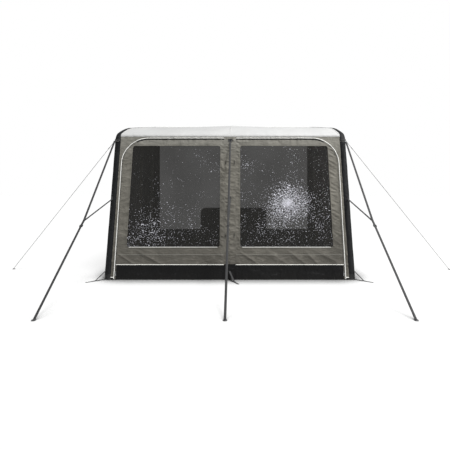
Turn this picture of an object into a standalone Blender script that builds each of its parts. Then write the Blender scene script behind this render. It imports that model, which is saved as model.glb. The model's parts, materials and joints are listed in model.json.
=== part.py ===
"""An inflatable caravan awning: three air beams, a canopy and its guying. Metres, +Z up.

The front faces -Y and the open rear ends at the plane y = DEPTH / 2. Left and right are as seen
from the front, so the right side is +X.
"""
import math

import bmesh
import bpy
from mathutils import Matrix, Vector

# Overall size
DEPTH = 2.50
RAIL_HEIGHT = 2.40
BASE_HALF_WIDTH = 1.60
EAVE_NARROWING = 0.06
FRONT_LEAN = math.radians(7.45)
ROOF_PITCH = math.radians(9.5)
ROOF_FRONT_REACH = 0.85
ROOF_ARC_RADIUS = 2.48
EAVE_RADIUS = 0.045
SEAM_DROP = 0.005
RIDGE_RISE = 0.03
RIDGE_FALL_POWER = 1.5

# Cloth, film and clearances
CLOTH = 0.004
FILM = 0.002
GAP = 0.0004
JOIN_GAP = 0.0008
ZIP_GAP = 0.004

# Air beams, their sleeves and feet
SLEEVE_RADIUS = 0.06
SLEEVE_WALL = 0.003
SLEEVE_INSET = 0.055
BEAM_BEND = 0.12
CENTRE_RADIUS = 0.055
FOOT_HEIGHT = 0.07
FOOT_FLOOR = 0.008
REAR_CLEARANCE = 0.004

# Inflation valves
VALVE_HEIGHT = 0.40
VALVE_NECK_RADIUS = 0.011
VALVE_FLANGE_RADIUS = 0.020
VALVE_FLANGE = 0.003
VALVE_BODY_RADIUS = 0.0145
VALVE_BODY = 0.012
CAP_RADIUS = 0.018
CAP_THICKNESS = 0.006
CAP_CHAMFER = 0.002
CAP_TAB_WIDTH = 0.010
CAP_TAB_REACH = 0.006

# Front wall: a middle strip, and a zipped panel with a window and a mud skirt on each side
STRIP_HALF_WIDTH = 0.075
ZIP_BASE_MARGIN = 0.088
ZIP_TOP_MARGIN = 0.073
ZIP_DROP = 0.0349394
ZIP_CORNER_RADIUS = 0.35
SKIRT_HEIGHT = 0.19
WINDOW_INNER_X = 0.136
WINDOW_BASE_STILE = 0.142
WINDOW_TOP_STILE = 0.132
WINDOW_SILL = 0.42
WINDOW_HEAD_DROP = 0.10
WINDOW_CORNER_RADIUS = 0.03
WINDOW_LAP = 0.015
PULL_WIDTH = 0.012
PULL_LENGTH = 0.030
PULL_THICKNESS = 0.006
PULL_INSET = 0.012
PULL_HEIGHT = 0.05
PULL_NECK_WIDTH = 0.005
PULL_TAB_LENGTH = 0.034
PULL_BEVEL = 0.0015

# Side walls, their doors and the dark cloth round them
SIDE_STANDOFF = 0.02
DOOR_STILE = 0.07
DOOR_REAR_MARGIN = 0.135
DOOR_FRONT_DROP = 0.10
DOOR_REAR_RISE = 0.14
DOOR_FRONT_RADIUS = 0.12
DOOR_REAR_RADIUS = 0.18
DOOR_FOOT_RADIUS = 0.02
DOOR_FRAME = 0.09
SIDE_WINDOW_SILL = 0.44
SIDE_WINDOW_RADIUS = 0.05
BAND_WIDTH = 0.59
BAND_REAR_MARGIN = 0.26
BAND_DROP = 0.06

# Rear pads, bead and skirts
PAD_THICKNESS = 0.05
PAD_INNER_MARGIN = 0.14
PAD_OUTER_REACH = 0.05
PAD_ROUNDING = 0.012
KEDER_RADIUS = 0.0035
KEDER_TAIL = 0.025
KEDER_CLOTH = 0.0015
DRAUGHT_HEIGHT = 0.376
WHEEL_HALF_WIDTH = 0.65
WHEEL_HEIGHT = 0.80
WHEEL_CORNER_RADIUS = 0.10

# Storm straps, their anchors, buckles and peg rings
STRAP_WIDTH = 0.025
STRAP_THICKNESS = 0.002
ANCHOR_DROP = 0.02
ANCHOR_TALL = 0.04
ANCHOR_HALF_WIDTH = 0.03
ANCHOR_CLOTH = 0.003
ANCHOR_SWEEP = math.radians(120)
ANCHOR_START = math.radians(-25)
LOOP_REACH = 0.022
LOOP_HALF_WIDTH = 0.016
LOOP_ROD = 0.002
STRAP_SIDE_OFFSET = 0.043
STRAP_SPLAY = 0.10
JUNCTION_REACH = 0.58
JUNCTION_HEIGHT = 0.84
PEG_REACH = 1.46
EYE_WALL = 0.0015
EYE_CLEARANCE = 0.0006
BRANCH_HEIGHT = 1.05
BRANCH_TAIL = 0.04
BRANCH_LAP = 0.05
BUCKLE_DISTANCE = 0.075
BUCKLE_RAIL = 0.004
BUCKLE_LENGTH = 0.032
BUCKLE_BAR = 0.003
PEG_ROD = 0.0025
PEG_HALF_WIDTH = 0.0165
PEG_SHANK = 0.008
PEG_CORNER_RADIUS = 0.004

# Side guy ropes and their runners
ROPE_RADIUS = 0.002
ROPE_PEG_X = 3.22
ROPE_PEG_Y = 0.62
ROPE_LOOP_RADIUS = 0.015
ROPE_LOOP_SHARE = 0.86
RUNNER_DISTANCE = 0.12
RUNNER_LENGTH = 0.036
RUNNER_HALF_WIDTH = 0.006
RUNNER_HALF_THICKNESS = 0.0045
RUNNER_BORE_CLEARANCE = 0.0005

# Ground straps with a peg eyelet
TAIL_LENGTH = 0.24
TAIL_THICKNESS = 0.0025
TAIL_JOIN = 0.12
TAIL_LEG_HEIGHT = 0.11
EYELET_RADIUS = 0.006
EYELET_EDGE = 0.020
CORNER_TAIL_BEARING = math.radians(-40)
CENTRE_TAIL_BEARING = math.radians(-62)

# Counts of facets
ROUND_SIDES = 16
BEND_STEPS = 5
ARC_STEPS = 5
FLAT_STEPS = 3
CORNER_STEPS = 6
EYE_STEPS = 12
ROD_SIDES = 8
ROPE_STEPS = 48
ROPE_LOOP_STEPS = 16
ROOF_STEPS = 8

FRONT_Y = -DEPTH / 2
REAR_Y = DEPTH / 2
RIDGE_END_Y = REAR_Y - 2 * KEDER_TAIL
EAVE_HALF_WIDTH = BASE_HALF_WIDTH - EAVE_NARROWING
ROOF_FLAT_DEPTH = DEPTH - ROOF_FRONT_REACH
BAND_REAR = DEPTH - BAND_REAR_MARGIN
BAND_FRONT = BAND_REAR - BAND_WIDTH
DOOR_REAR = BAND_FRONT - DOOR_REAR_MARGIN
PAD_INNER_X = BASE_HALF_WIDTH - PAD_INNER_MARGIN
PAD_OUTER_X = BASE_HALF_WIDTH + PAD_OUTER_REACH
ZIP_BASE_HALF_WIDTH = BASE_HALF_WIDTH - ZIP_BASE_MARGIN
ZIP_TOP_HALF_WIDTH = EAVE_HALF_WIDTH - ZIP_TOP_MARGIN
WINDOW_BASE_X = ZIP_BASE_HALF_WIDTH - WINDOW_BASE_STILE
WINDOW_TOP_X = ZIP_TOP_HALF_WIDTH - WINDOW_TOP_STILE
WALL_PITCH = math.pi / 2 - FRONT_LEAN
UP_WALL = Vector((0, math.sin(FRONT_LEAN), math.cos(FRONT_LEAN)))
ACROSS = Vector((1, 0, 0))
BACK = Vector((0, 1, 0))
UP = Vector((0, 0, 1))
SIDES = (("left", -1), ("right", 1))

COLOURS = {
    "roof_cloth": ("#E9E9E7", 0.75, 0.0),
    "grey_cloth": ("#868479", 0.85, 0.0),
    "black_cloth": ("#1A1A1B", 0.8, 0.0),
    "sleeve_cloth": ("#262728", 0.7, 0.0),
    "beam_skin": ("#3A3B3C", 0.6, 0.0),
    "window_film": ("#6B6A65", 0.12, 0.0),
    "webbing": ("#3A3A3B", 0.8, 0.0),
    "moulded_plastic": ("#202021", 0.45, 0.0),
    "white_bead": ("#D9D8D3", 0.5, 0.0),
    "foam_pad": ("#1C1C1D", 0.9, 0.0),
    "steel": ("#B9BABC", 0.28, 1.0),
    "zip_metal": ("#8E8D88", 0.4, 0.8),
    "rope": ("#2B2B2D", 0.75, 0.0),
}


def linear(channel):
    """An sRGB channel as the linear value that a shader takes."""
    if channel <= 0.04045:
        return channel / 12.92
    return ((channel + 0.055) / 1.055) ** 2.4


def material(slot):
    """The named finish, made once."""
    found = bpy.data.materials.get(slot)
    if found:
        return found
    code, roughness, metallic = COLOURS[slot]
    made_material = bpy.data.materials.new(slot)
    made_material.use_nodes = True
    shader = made_material.node_tree.nodes["Principled BSDF"]
    channels = [linear(int(code[i:i + 2], 16) / 255) for i in (1, 3, 5)]
    shader.inputs["Base Color"].default_value = (*channels, 1)
    shader.inputs["Roughness"].default_value = roughness
    shader.inputs["Metallic"].default_value = metallic
    made_material.diffuse_color = (*channels, 1)
    return made_material


def made(name, mesh_builder, slot, smooth=False):
    """The builder's mesh as a named object with its finish."""
    bmesh.ops.recalc_face_normals(mesh_builder, faces=mesh_builder.faces[:])
    mesh = bpy.data.meshes.new(name)
    mesh_builder.to_mesh(mesh)
    mesh_builder.free()
    if smooth:
        mesh.shade_smooth()
        mesh.set_sharp_from_angle(angle=math.radians(35))
    mesh.materials.append(material(slot))
    thing = bpy.data.objects.new(name, mesh)
    bpy.context.collection.objects.link(thing)
    return thing


def skin(name, loops, slot, ring=False, smooth=True):
    """A closed surface through loops of equally many points: capped, or run on into the first loop."""
    builder = bmesh.new()
    rows = [[builder.verts.new(point) for point in loop] for loop in loops]
    pairs = list(zip(rows, rows[1:]))
    if ring:
        pairs.append((rows[-1], rows[0]))
    else:
        builder.faces.new(rows[0])
        builder.faces.new(rows[-1])
    for low, high in pairs:
        for i in range(len(low)):
            builder.faces.new((low[i - 1], low[i], high[i], high[i - 1]))
    return made(name, builder, slot, smooth)


def plate(name, outline, place, depth, slot, holes=()):
    """A sheet cut to an outline with holes, laid by place(u, v) and thickened by the vector depth."""
    builder = bmesh.new()
    edges = []
    for loop in (outline, *holes):
        corners = [builder.verts.new(place(point.x, point.y)) for point in loop]
        edges += [builder.edges.new((corners[i - 1], corners[i])) for i in range(len(corners))]
    bmesh.ops.triangle_fill(builder, use_beauty=True, edges=edges)
    grown_parts = bmesh.ops.extrude_face_region(builder, geom=builder.faces[:])["geom"]
    moved = [part for part in grown_parts if isinstance(part, bmesh.types.BMVert)]
    bmesh.ops.translate(builder, vec=depth, verts=moved)
    return made(name, builder, slot)


def steps(first, last, count):
    """Values from first to last, both counted."""
    return [first + (last - first) * i / count for i in range(count + 1)]


def circle(centre, radius, toward, across, sides, start=0.0, sweep=2 * math.pi, ends=False):
    """Points round a centre in the plane of two directions; ends adds the last point of an open arc."""
    turns = [start + sweep * i / sides for i in range(sides + (1 if ends else 0))]
    return [centre + radius * (math.cos(t) * toward + math.sin(t) * across) for t in turns]


def rounded(corners, closed=True):
    """The outline through (point, radius) corners, with an arc at each corner that has a radius."""
    points = []
    for i, (corner, radius) in enumerate(corners):
        inner = closed or 0 < i < len(corners) - 1
        if not radius or not inner:
            points.append(corner.copy())
            continue
        before = (corners[i - 1][0] - corner).normalized()
        after = (corners[(i + 1) % len(corners)][0] - corner).normalized()
        half = before.angle(after) / 2
        centre = corner + (before + after).normalized() * (radius / math.sin(half))
        start = corner + before * (radius / math.tan(half)) - centre
        end = corner + after * (radius / math.tan(half)) - centre
        turn = math.pi - 2 * half
        for share in steps(0, 1, CORNER_STEPS):
            points.append(centre + (math.sin((1 - share) * turn) * start
                                    + math.sin(share * turn) * end) / math.sin(turn))
    return points


def grown(corners, distance):
    """Corners of an anticlockwise outline moved out square to its edges, and their radii with them."""
    moved = []
    for i, (corner, radius) in enumerate(corners):
        before = (corner - corners[i - 1][0]).normalized()
        after = (corners[(i + 1) % len(corners)][0] - corner).normalized()
        out = Vector((before.y, -before.x)) + Vector((after.y, -after.x))
        mitre = out / (1 + before.dot(after))
        moved.append((corner + distance * mitre, radius + distance if radius else 0))
    return moved


def swept(name, points, radius, slot, closed=False):
    """A round rod of the radius along points."""
    count = len(points)
    tangents = []
    for i in range(count):
        before = points[i - 1] if closed or i else points[i]
        after = points[(i + 1) % count] if closed or i < count - 1 else points[i]
        tangents.append((after - before).normalized())
    normal = tangents[0].orthogonal().normalized()
    loops = []
    for point, tangent in zip(points, tangents):
        normal = (normal - normal.dot(tangent) * tangent).normalized()
        loops.append(circle(point, radius, normal, tangent.cross(normal), ROD_SIDES))
    return skin(name, loops, slot, ring=closed)


def block(name, place, low, high, slot):
    """A box between two corners, laid by place(u, v, w)."""
    u_low, v_low, w_low = low
    u_high, v_high, w_high = high
    loops = [[place(u_low, v_low, w), place(u_high, v_low, w), place(u_high, v_high, w),
              place(u_low, v_high, w)] for w in (w_low, w_high)]
    return skin(name, loops, slot, smooth=False)


def boolean(thing, others, operation):
    """The thing united with, or cut by, the others, which stay as hidden guides."""
    for i, other in enumerate(others):
        other.hide_render = True
        other.display_type = "WIRE"
        modifier = thing.modifiers.new(f"{operation.lower()}_{i}", "BOOLEAN")
        modifier.operation = operation
        modifier.object = other
    return thing


def carried(name, place, things):
    """An empty on a joint's axis, with the moving things as its children."""
    axle = bpy.data.objects.new(name, None)
    axle.location = place
    axle.empty_display_size = SLEEVE_RADIUS
    bpy.context.collection.objects.link(axle)
    for thing in things:
        guides = [m.object for m in thing.modifiers if m.type == "BOOLEAN"]
        for piece in (thing, *guides):
            piece.data.transform(Matrix.Translation(-place))
            piece.parent = axle
    return axle


# The awning's side view

def outward(pitch):
    """The outward direction of a surface that climbs towards the rear at the pitch."""
    return Vector((0, -math.sin(pitch), math.cos(pitch)))


ROOF_CENTRE = (Vector((0, REAR_Y - ROOF_FLAT_DEPTH, RAIL_HEIGHT - ROOF_FLAT_DEPTH * math.tan(ROOF_PITCH)))
               - ROOF_ARC_RADIUS * outward(ROOF_PITCH))


def side_path(inset, bend, low, rear):
    """Stations (point, pitch) at an inset from the outer skin: up the front, over the eave, to the rear."""
    out = outward(WALL_PITCH)
    foot = Vector((0, FRONT_Y, 0)) - inset * out
    reach = ROOF_ARC_RADIUS - inset - bend
    start = foot - bend * out - ROOF_CENTRE
    dot = start.dot(UP_WALL)
    along = -dot + math.sqrt(dot * dot - start.length_squared + reach * reach)
    to_bend = start + along * UP_WALL
    bend_centre = ROOF_CENTRE + to_bend
    eave_pitch = math.atan2(-to_bend.y, to_bend.z)
    stations = [(foot + (low - foot.z) / UP_WALL.z * UP_WALL, WALL_PITCH)]
    for pitch in steps(WALL_PITCH, eave_pitch, BEND_STEPS):
        stations.append((bend_centre + bend * outward(pitch), pitch))
    for pitch in steps(eave_pitch, ROOF_PITCH, ARC_STEPS)[1:]:
        stations.append((ROOF_CENTRE + (ROOF_ARC_RADIUS - inset) * outward(pitch), pitch))
    last = stations[-1][0]
    level = min(RIDGE_END_Y, rear - KEDER_TAIL)
    for y in [*steps(last.y, level, FLAT_STEPS)[1:], rear]:
        run = y - last.y
        stations.append((last + Vector((0, run, run * math.tan(ROOF_PITCH))), ROOF_PITCH))
    return stations


SEAM_Z = side_path(0, EAVE_RADIUS, 0, REAR_Y)[1][0].z - SEAM_DROP
ZIP_HEIGHT = SEAM_Z - ZIP_DROP
WINDOW_HEAD = ZIP_HEIGHT - WINDOW_HEAD_DROP
DOOR_FRONT_HEIGHT = ZIP_HEIGHT - DOOR_FRONT_DROP
DOOR_REAR_HEIGHT = ZIP_HEIGHT + DOOR_REAR_RISE
ANCHOR_HEIGHT = ZIP_HEIGHT - ANCHOR_DROP
BEND_Z = side_path(SLEEVE_INSET, BEAM_BEND, 0, REAR_Y)[1][0].z
CORNER_TAPER = (BASE_HALF_WIDTH - EAVE_HALF_WIDTH) / BEND_Z
CENTRE_INSET = CLOTH + GAP + SLEEVE_WALL + GAP + CENTRE_RADIUS
BEAM_RADIUS = SLEEVE_RADIUS - SLEEVE_WALL - GAP
EDGE_OFFSET = math.sqrt(SLEEVE_RADIUS ** 2 - (SLEEVE_INSET - CLOTH) ** 2) + JOIN_GAP
SIDE_INSET = SLEEVE_INSET + SLEEVE_RADIUS + JOIN_GAP
PAD_FRONT_Y = REAR_Y - PAD_THICKNESS


def front_y(height):
    """Where the front wall's face stands at a height."""
    return FRONT_Y + height * math.tan(FRONT_LEAN)


def corner_x(height):
    """How far the corner beam's centre line stands from the middle at a height."""
    return BASE_HALF_WIDTH - CORNER_TAPER * min(height, BEND_Z)


def side_x(height):
    """How far the side wall's face stands from the middle at a height."""
    return BASE_HALF_WIDTH + SIDE_STANDOFF - CORNER_TAPER * height


def ridge(y):
    """How far the middle beam lifts the roof at a place between the eave and the rear edge."""
    eave_y = front_y(SEAM_Z)
    share = min(1, max(0, (y - eave_y) / (RIDGE_END_Y - eave_y)))
    return RIDGE_RISE * math.sin(math.pi * share)


def front_place(depth):
    """Lays (x, z) on the front wall, a depth behind its face."""
    return lambda x, z: Vector((x, front_y(z) + depth, z))


def side_place(side, depth):
    """Lays (y, z) on a side wall, a depth inside its face."""
    return lambda y, z: Vector((side * (side_x(z) - depth), y, z))


# Air beams

def leg_centre(side, height, inset):
    """The centre line of a beam's leg at a height."""
    x = side * corner_x(height)
    return Vector((x, front_y(height) + inset / math.cos(FRONT_LEAN), height))


def tube_loops(side, inset, radius, low, rear):
    """Rings of a beam or sleeve from a level foot to an upright rear end."""
    stations = side_path(inset, BEAM_BEND, low, rear)
    loops = []
    for i, (point, pitch) in enumerate(stations):
        out = outward(pitch)
        if i == 0:
            out = -BACK
        if i == len(stations) - 1:
            out = UP
        lift = 0 if side else ridge(point.y)
        centre = Vector((side * corner_x(point.z), point.y, point.z + lift))
        loops.append(circle(centre, radius, ACROSS, out, ROUND_SIDES))
    return loops


def air_beam(name, side, inset, radius):
    """An inflated beam, from the floor of its foot to just short of the rear plane."""
    rear = REAR_Y - REAR_CLEARANCE
    return skin(name, tube_loops(side, inset, radius, FOOT_FLOOR + GAP, rear), "beam_skin")


def sleeve(name, side):
    """The sleeve round a corner beam, open at both ends, with a hole for the valve's neck."""
    rear = REAR_Y - REAR_CLEARANCE
    outer = tube_loops(side, SLEEVE_INSET, SLEEVE_RADIUS, FOOT_HEIGHT + GAP, rear)
    inner = tube_loops(side, SLEEVE_INSET, SLEEVE_RADIUS - SLEEVE_WALL, FOOT_HEIGHT + GAP, rear)
    cloth = skin(name, outer + inner[::-1], "sleeve_cloth", ring=True)
    centre = leg_centre(side, VALVE_HEIGHT, SLEEVE_INSET)
    hole = [circle(centre - side * reach * ACROSS, VALVE_NECK_RADIUS + JOIN_GAP, BACK, UP, ROUND_SIDES)
            for reach in (CENTRE_RADIUS / 2, SLEEVE_RADIUS + VALVE_BODY)]
    return boolean(cloth, [skin(f"{name}_valve_hole", hole, "sleeve_cloth")], "DIFFERENCE")


def foot(name, side, inset, radius):
    """A cup that closes a beam's lower end and stands on the ground."""
    def ring(height, size):
        centre = leg_centre(side, height, inset)
        if not side:
            centre.x = 0
        return circle(centre, size, ACROSS, -BACK, ROUND_SIDES)
    inner = radius - SLEEVE_WALL
    loops = [ring(0, radius), ring(FOOT_HEIGHT, radius), ring(FOOT_HEIGHT, inner), ring(FOOT_FLOOR, inner)]
    return skin(name, loops, "moulded_plastic")


def lathe(name, base, axis, across, profile, slot):
    """A turned piece from (radius, height) pairs along an axis, flat at both ends."""
    other = axis.cross(across)
    loops = [circle(base + height * axis, radius, across, other, ROUND_SIDES) for radius, height in profile]
    return skin(name, loops, slot)


def valve_spot(side):
    """The point on the beam's skin that a valve stands on, and its axis."""
    if side:
        return leg_centre(side, VALVE_HEIGHT, SLEEVE_INSET) - side * BEAM_RADIUS * ACROSS, -side * ACROSS
    centre = leg_centre(side, VALVE_HEIGHT, CENTRE_INSET)
    centre.x = 0
    return centre - CENTRE_RADIUS * outward(WALL_PITCH), -outward(WALL_PITCH)


def valve(word, side):
    """An inflation valve and its hinged cap."""
    spot, axis = valve_spot(side)
    wall = SLEEVE_RADIUS - BEAM_RADIUS if side else 0
    up = UP if side else UP_WALL
    lean = CORNER_TAPER if side else 0
    flange = wall + GAP + VALVE_FLANGE_RADIUS * lean
    shoulder = flange + VALVE_FLANGE
    top = shoulder + VALVE_BODY
    seat_radius = VALVE_NECK_RADIUS if side else VALVE_FLANGE_RADIUS
    neck = [(seat_radius, GAP + seat_radius * lean)]
    if side:
        neck.append((VALVE_NECK_RADIUS, flange))
    profile = [*neck, (VALVE_FLANGE_RADIUS, flange + (0 if side else VALVE_FLANGE / 2)),
               (VALVE_FLANGE_RADIUS, shoulder), (VALVE_BODY_RADIUS, shoulder), (VALVE_BODY_RADIUS, top)]
    lathe(f"valve_{word}", spot, axis, up, profile, "moulded_plastic")
    seat = top + GAP
    cap_profile = [(CAP_RADIUS, seat), (CAP_RADIUS, seat + CAP_THICKNESS - CAP_CHAMFER),
                   (CAP_RADIUS - CAP_CHAMFER, seat + CAP_THICKNESS)]
    cap = lathe(f"valve_cap_{word}", spot, axis, up, cap_profile, "moulded_plastic")
    cross = axis.cross(up)

    def place(u, v, w):
        return spot + u * cross + v * up + w * axis
    tab = block(f"valve_cap_{word}_tab", place,
                (-CAP_TAB_WIDTH / 2, CAP_RADIUS / 2, seat + CAP_CHAMFER / 2),
                (CAP_TAB_WIDTH / 2, CAP_RADIUS + CAP_TAB_REACH, seat + CAP_THICKNESS - CAP_CHAMFER / 2),
                "moulded_plastic")
    boolean(cap, [tab], "UNION")
    hinge = spot + (CAP_RADIUS + CAP_TAB_REACH) * up + seat * axis
    carried(f"valve_cap_{word}_hinge", hinge, [cap])


# Roof and the bead that it hangs by

def roof_panel():
    """The roof cloth from the eave seam to the bead, lifted along the middle by the centre beam."""
    half = EAVE_HALF_WIDTH - EDGE_OFFSET
    rear = REAR_Y - 2 * KEDER_RADIUS - GAP
    outer = side_path(0, EAVE_RADIUS, SEAM_Z, rear)
    inner = side_path(CLOTH, EAVE_RADIUS - CLOTH, SEAM_Z, rear)
    shares = steps(-1, 1, ROOF_STEPS)
    loops = []
    for (top, _), (under, _) in zip(outer, inner):
        lift = [ridge(top.y) * (1 - abs(share)) ** RIDGE_FALL_POWER for share in shares]
        row = [Vector((half * share, top.y, top.z + up)) for share, up in zip(shares, lift)]
        back_row = [Vector((half * share, under.y, under.z + up)) for share, up in zip(shares, lift)]
        loops.append(row + back_row[::-1])
    return skin("roof_panel", loops, "roof_cloth")


def keder_bead():
    """A round bead that slides into an awning rail, with its cloth tail on the roof's rear edge."""
    half = EAVE_HALF_WIDTH - EDGE_OFFSET
    out = outward(ROOF_PITCH)
    down_roof = Vector((0, -math.cos(ROOF_PITCH), -math.sin(ROOF_PITCH)))
    on_roof = Vector((0, REAR_Y - KEDER_RADIUS, RAIL_HEIGHT - KEDER_RADIUS * math.tan(ROOF_PITCH)))
    centre = on_roof + (GAP + KEDER_CLOTH / 2) * out
    tuck = math.asin(KEDER_CLOTH / 2 / KEDER_RADIUS)
    section = circle(centre, KEDER_RADIUS, down_roof, out, EYE_STEPS, tuck, 2 * (math.pi - tuck), True)
    section.append(centre + KEDER_TAIL * down_roof - KEDER_CLOTH / 2 * out)
    section.append(centre + KEDER_TAIL * down_roof + KEDER_CLOTH / 2 * out)
    loops = [[point + x * ACROSS for point in section] for x in (-half, half)]
    return skin("keder_bead", loops, "white_bead")


# Front wall

def zip_x(height):
    """How far the front zip's upright run stands from the middle at a height."""
    return ZIP_BASE_HALF_WIDTH - (ZIP_BASE_HALF_WIDTH - ZIP_TOP_HALF_WIDTH) * height / ZIP_HEIGHT


HINGE_X = STRIP_HALF_WIDTH + GAP


def mirrored(corners, side):
    """Corners drawn for the right side, for either side, still anticlockwise."""
    if side > 0:
        return corners
    return [(Vector((-point.x, point.y)), radius) for point, radius in corners[::-1]]


def front_surround():
    """The fixed cloth round the two front panels: a leg beside each corner beam and a band over them."""
    edge_base = corner_x(0) - EDGE_OFFSET
    edge_top = corner_x(SEAM_Z) - EDGE_OFFSET
    edge_bend = corner_x(BEND_Z) - EDGE_OFFSET
    inner_x = zip_x(0) + ZIP_GAP
    inner_top = zip_x(ZIP_HEIGHT) + ZIP_GAP
    head = ZIP_HEIGHT + ZIP_GAP
    radius = ZIP_CORNER_RADIUS + ZIP_GAP
    right = [(Vector((inner_top, head)), radius), (Vector((inner_x, 0)), 0), (Vector((edge_base, 0)), 0),
             (Vector((edge_bend, BEND_Z)), 0), (Vector((edge_top, SEAM_Z - GAP)), 0)]
    left = [(Vector((-point.x, point.y)), size) for point, size in right[::-1]]
    outline = rounded(right + left)
    return plate("front_surround", outline, front_place(0), CLOTH * BACK, "grey_cloth")


def centre_strip():
    """The fixed strip between the panels, over the centre beam."""
    head = ZIP_HEIGHT + ZIP_GAP - GAP
    corners = [Vector((-STRIP_HALF_WIDTH, 0)), Vector((STRIP_HALF_WIDTH, 0)),
               Vector((STRIP_HALF_WIDTH, head)), Vector((-STRIP_HALF_WIDTH, head))]
    return plate("centre_strip", corners, front_place(0), CLOTH * BACK, "grey_cloth")


def window_corners():
    """The front window's opening, on the right side."""
    radius = WINDOW_CORNER_RADIUS
    return [(Vector((WINDOW_INNER_X, WINDOW_SILL)), radius), (Vector((WINDOW_BASE_X, WINDOW_SILL)), radius),
            (Vector((WINDOW_TOP_X, WINDOW_HEAD)), radius), (Vector((WINDOW_INNER_X, WINDOW_HEAD)), radius)]


def zip_pull(word, side):
    """A zip slider with its tab, on the panel's face beside the upright zip run."""
    centre_x = side * (zip_x(PULL_HEIGHT) - PULL_INSET)
    base = Vector((centre_x, front_y(PULL_HEIGHT), PULL_HEIGHT))
    out = outward(WALL_PITCH)

    def place(u, v, w):
        return base + u * ACROSS + v * UP_WALL + w * out
    name = f"front_zip_pull_{word}"
    body = block(name, place, (-PULL_WIDTH / 2, 0, JOIN_GAP),
                 (PULL_WIDTH / 2, PULL_LENGTH, JOIN_GAP + PULL_THICKNESS), "zip_metal")
    tab = block(f"{name}_tab", place,
                (-PULL_NECK_WIDTH / 2, PULL_LENGTH / 2, JOIN_GAP + PULL_THICKNESS / 2),
                (PULL_NECK_WIDTH / 2, PULL_LENGTH + PULL_TAB_LENGTH, JOIN_GAP + PULL_THICKNESS * 2 / 3),
                "zip_metal")
    bevel = body.modifiers.new("soft_edges", "BEVEL")
    bevel.width = PULL_BEVEL / 2
    boolean(body, [tab], "UNION")
    carried(f"{name}_slide", base, [body])


def front_panel(word, side):
    """One zipped front panel with its window and mud skirt, hinged on the middle strip's edge."""
    low = SKIRT_HEIGHT + GAP
    corners = mirrored([(Vector((HINGE_X, low)), 0), (Vector((zip_x(low), low)), 0),
                        (Vector((zip_x(ZIP_HEIGHT), ZIP_HEIGHT)), ZIP_CORNER_RADIUS),
                        (Vector((HINGE_X, ZIP_HEIGHT)), 0)], side)
    window = mirrored(window_corners(), side)
    face = front_place(0)
    panel = plate(f"front_panel_{word}", rounded(corners), face, CLOTH * BACK, "grey_cloth",
                  [rounded(window)])
    behind = front_place(CLOTH + GAP)
    film = plate(f"front_window_{word}", rounded(grown(window, WINDOW_LAP)), behind, FILM * BACK,
                 "window_film")
    skirt_corners = mirrored([(Vector((HINGE_X, 0)), 0), (Vector((zip_x(0), 0)), 0),
                              (Vector((zip_x(SKIRT_HEIGHT), SKIRT_HEIGHT)), 0),
                              (Vector((HINGE_X, SKIRT_HEIGHT)), 0)], side)
    skirt = plate(f"front_skirt_{word}", rounded(skirt_corners), face, CLOTH * BACK, "black_cloth")
    carried(f"front_panel_{word}_hinge", Vector((side * HINGE_X, FRONT_Y, 0)), [panel, film, skirt])


# Side walls

def leg_rear(height):
    """Where a side wall's front edge clears the corner sleeve at a height."""
    return front_y(height) + SIDE_INSET / math.cos(FRONT_LEAN)


def under_roof(low, rear):
    """A side wall's front and top edges, along the sleeve from a height to a place near the rear."""
    bend = BEAM_BEND - SLEEVE_RADIUS - JOIN_GAP
    return [Vector((point.y, point.z)) for point, _ in side_path(SIDE_INSET, bend, low, rear)]


def roof_line(y, drop):
    """A point at y, a drop below the sleeve's underside."""
    path = under_roof(SKIRT_HEIGHT, PAD_FRONT_Y - GAP)
    for first, second in zip(path, path[1:]):
        if first.x <= y <= second.x and second.y > BEND_Z:
            share = (y - first.x) / (second.x - first.x)
            return Vector((y, first.y + share * (second.y - first.y) - drop))
    return Vector((y, path[-1].y - drop))


def door_front(height):
    """The side door's hinge line at a height."""
    return leg_rear(height) + DOOR_STILE


def door_corners():
    """The side door's outline in (y, z), anticlockwise seen with the front on the left."""
    low = SKIRT_HEIGHT + ZIP_GAP
    rear = FRONT_Y + DOOR_REAR
    return [(Vector((door_front(low), low)), DOOR_FOOT_RADIUS), (Vector((rear, low)), DOOR_FOOT_RADIUS),
            (Vector((rear, DOOR_REAR_HEIGHT)), DOOR_REAR_RADIUS),
            (Vector((door_front(DOOR_FRONT_HEIGHT), DOOR_FRONT_HEIGHT)), DOOR_FRONT_RADIUS)]


def side_wall(word, side):
    """The fixed cloth of a side wall, round the door and round the dark band."""
    low = SKIRT_HEIGHT + GAP
    rear = PAD_FRONT_Y - GAP
    band_front = FRONT_Y + BAND_FRONT - GAP
    band_rear = FRONT_Y + BAND_REAR + GAP
    outline = [Vector((rear, low)), Vector((band_rear, low)), roof_line(band_rear, BAND_DROP),
               roof_line(band_front, BAND_DROP), Vector((band_front, low))] + under_roof(low, rear)
    corners = door_corners()
    opening = grown(corners, ZIP_GAP)
    for i in (0, 3):
        height = opening[i][0].y
        opening[i] = (Vector((door_front(height) - GAP, height)), opening[i][1])
    return plate(f"side_wall_{word}", outline, side_place(side, 0), -side * CLOTH * ACROSS, "grey_cloth",
                 [rounded(opening)])


def side_band(word, side):
    """The dark cloth of a side: a mud skirt along the ground and an upright band near the rear."""
    rear = PAD_FRONT_Y - GAP
    band_front = FRONT_Y + BAND_FRONT
    band_rear = FRONT_Y + BAND_REAR
    drop = BAND_DROP + GAP / math.cos(ROOF_PITCH)
    outline = [Vector((leg_rear(0), 0)), Vector((rear, 0)), Vector((rear, SKIRT_HEIGHT)),
               Vector((band_rear, SKIRT_HEIGHT)), roof_line(band_rear, drop), roof_line(band_front, drop),
               Vector((band_front, SKIRT_HEIGHT)), Vector((leg_rear(SKIRT_HEIGHT), SKIRT_HEIGHT))]
    return plate(f"side_black_panel_{word}", outline, side_place(side, 0), -side * CLOTH * ACROSS,
                 "black_cloth")


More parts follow.
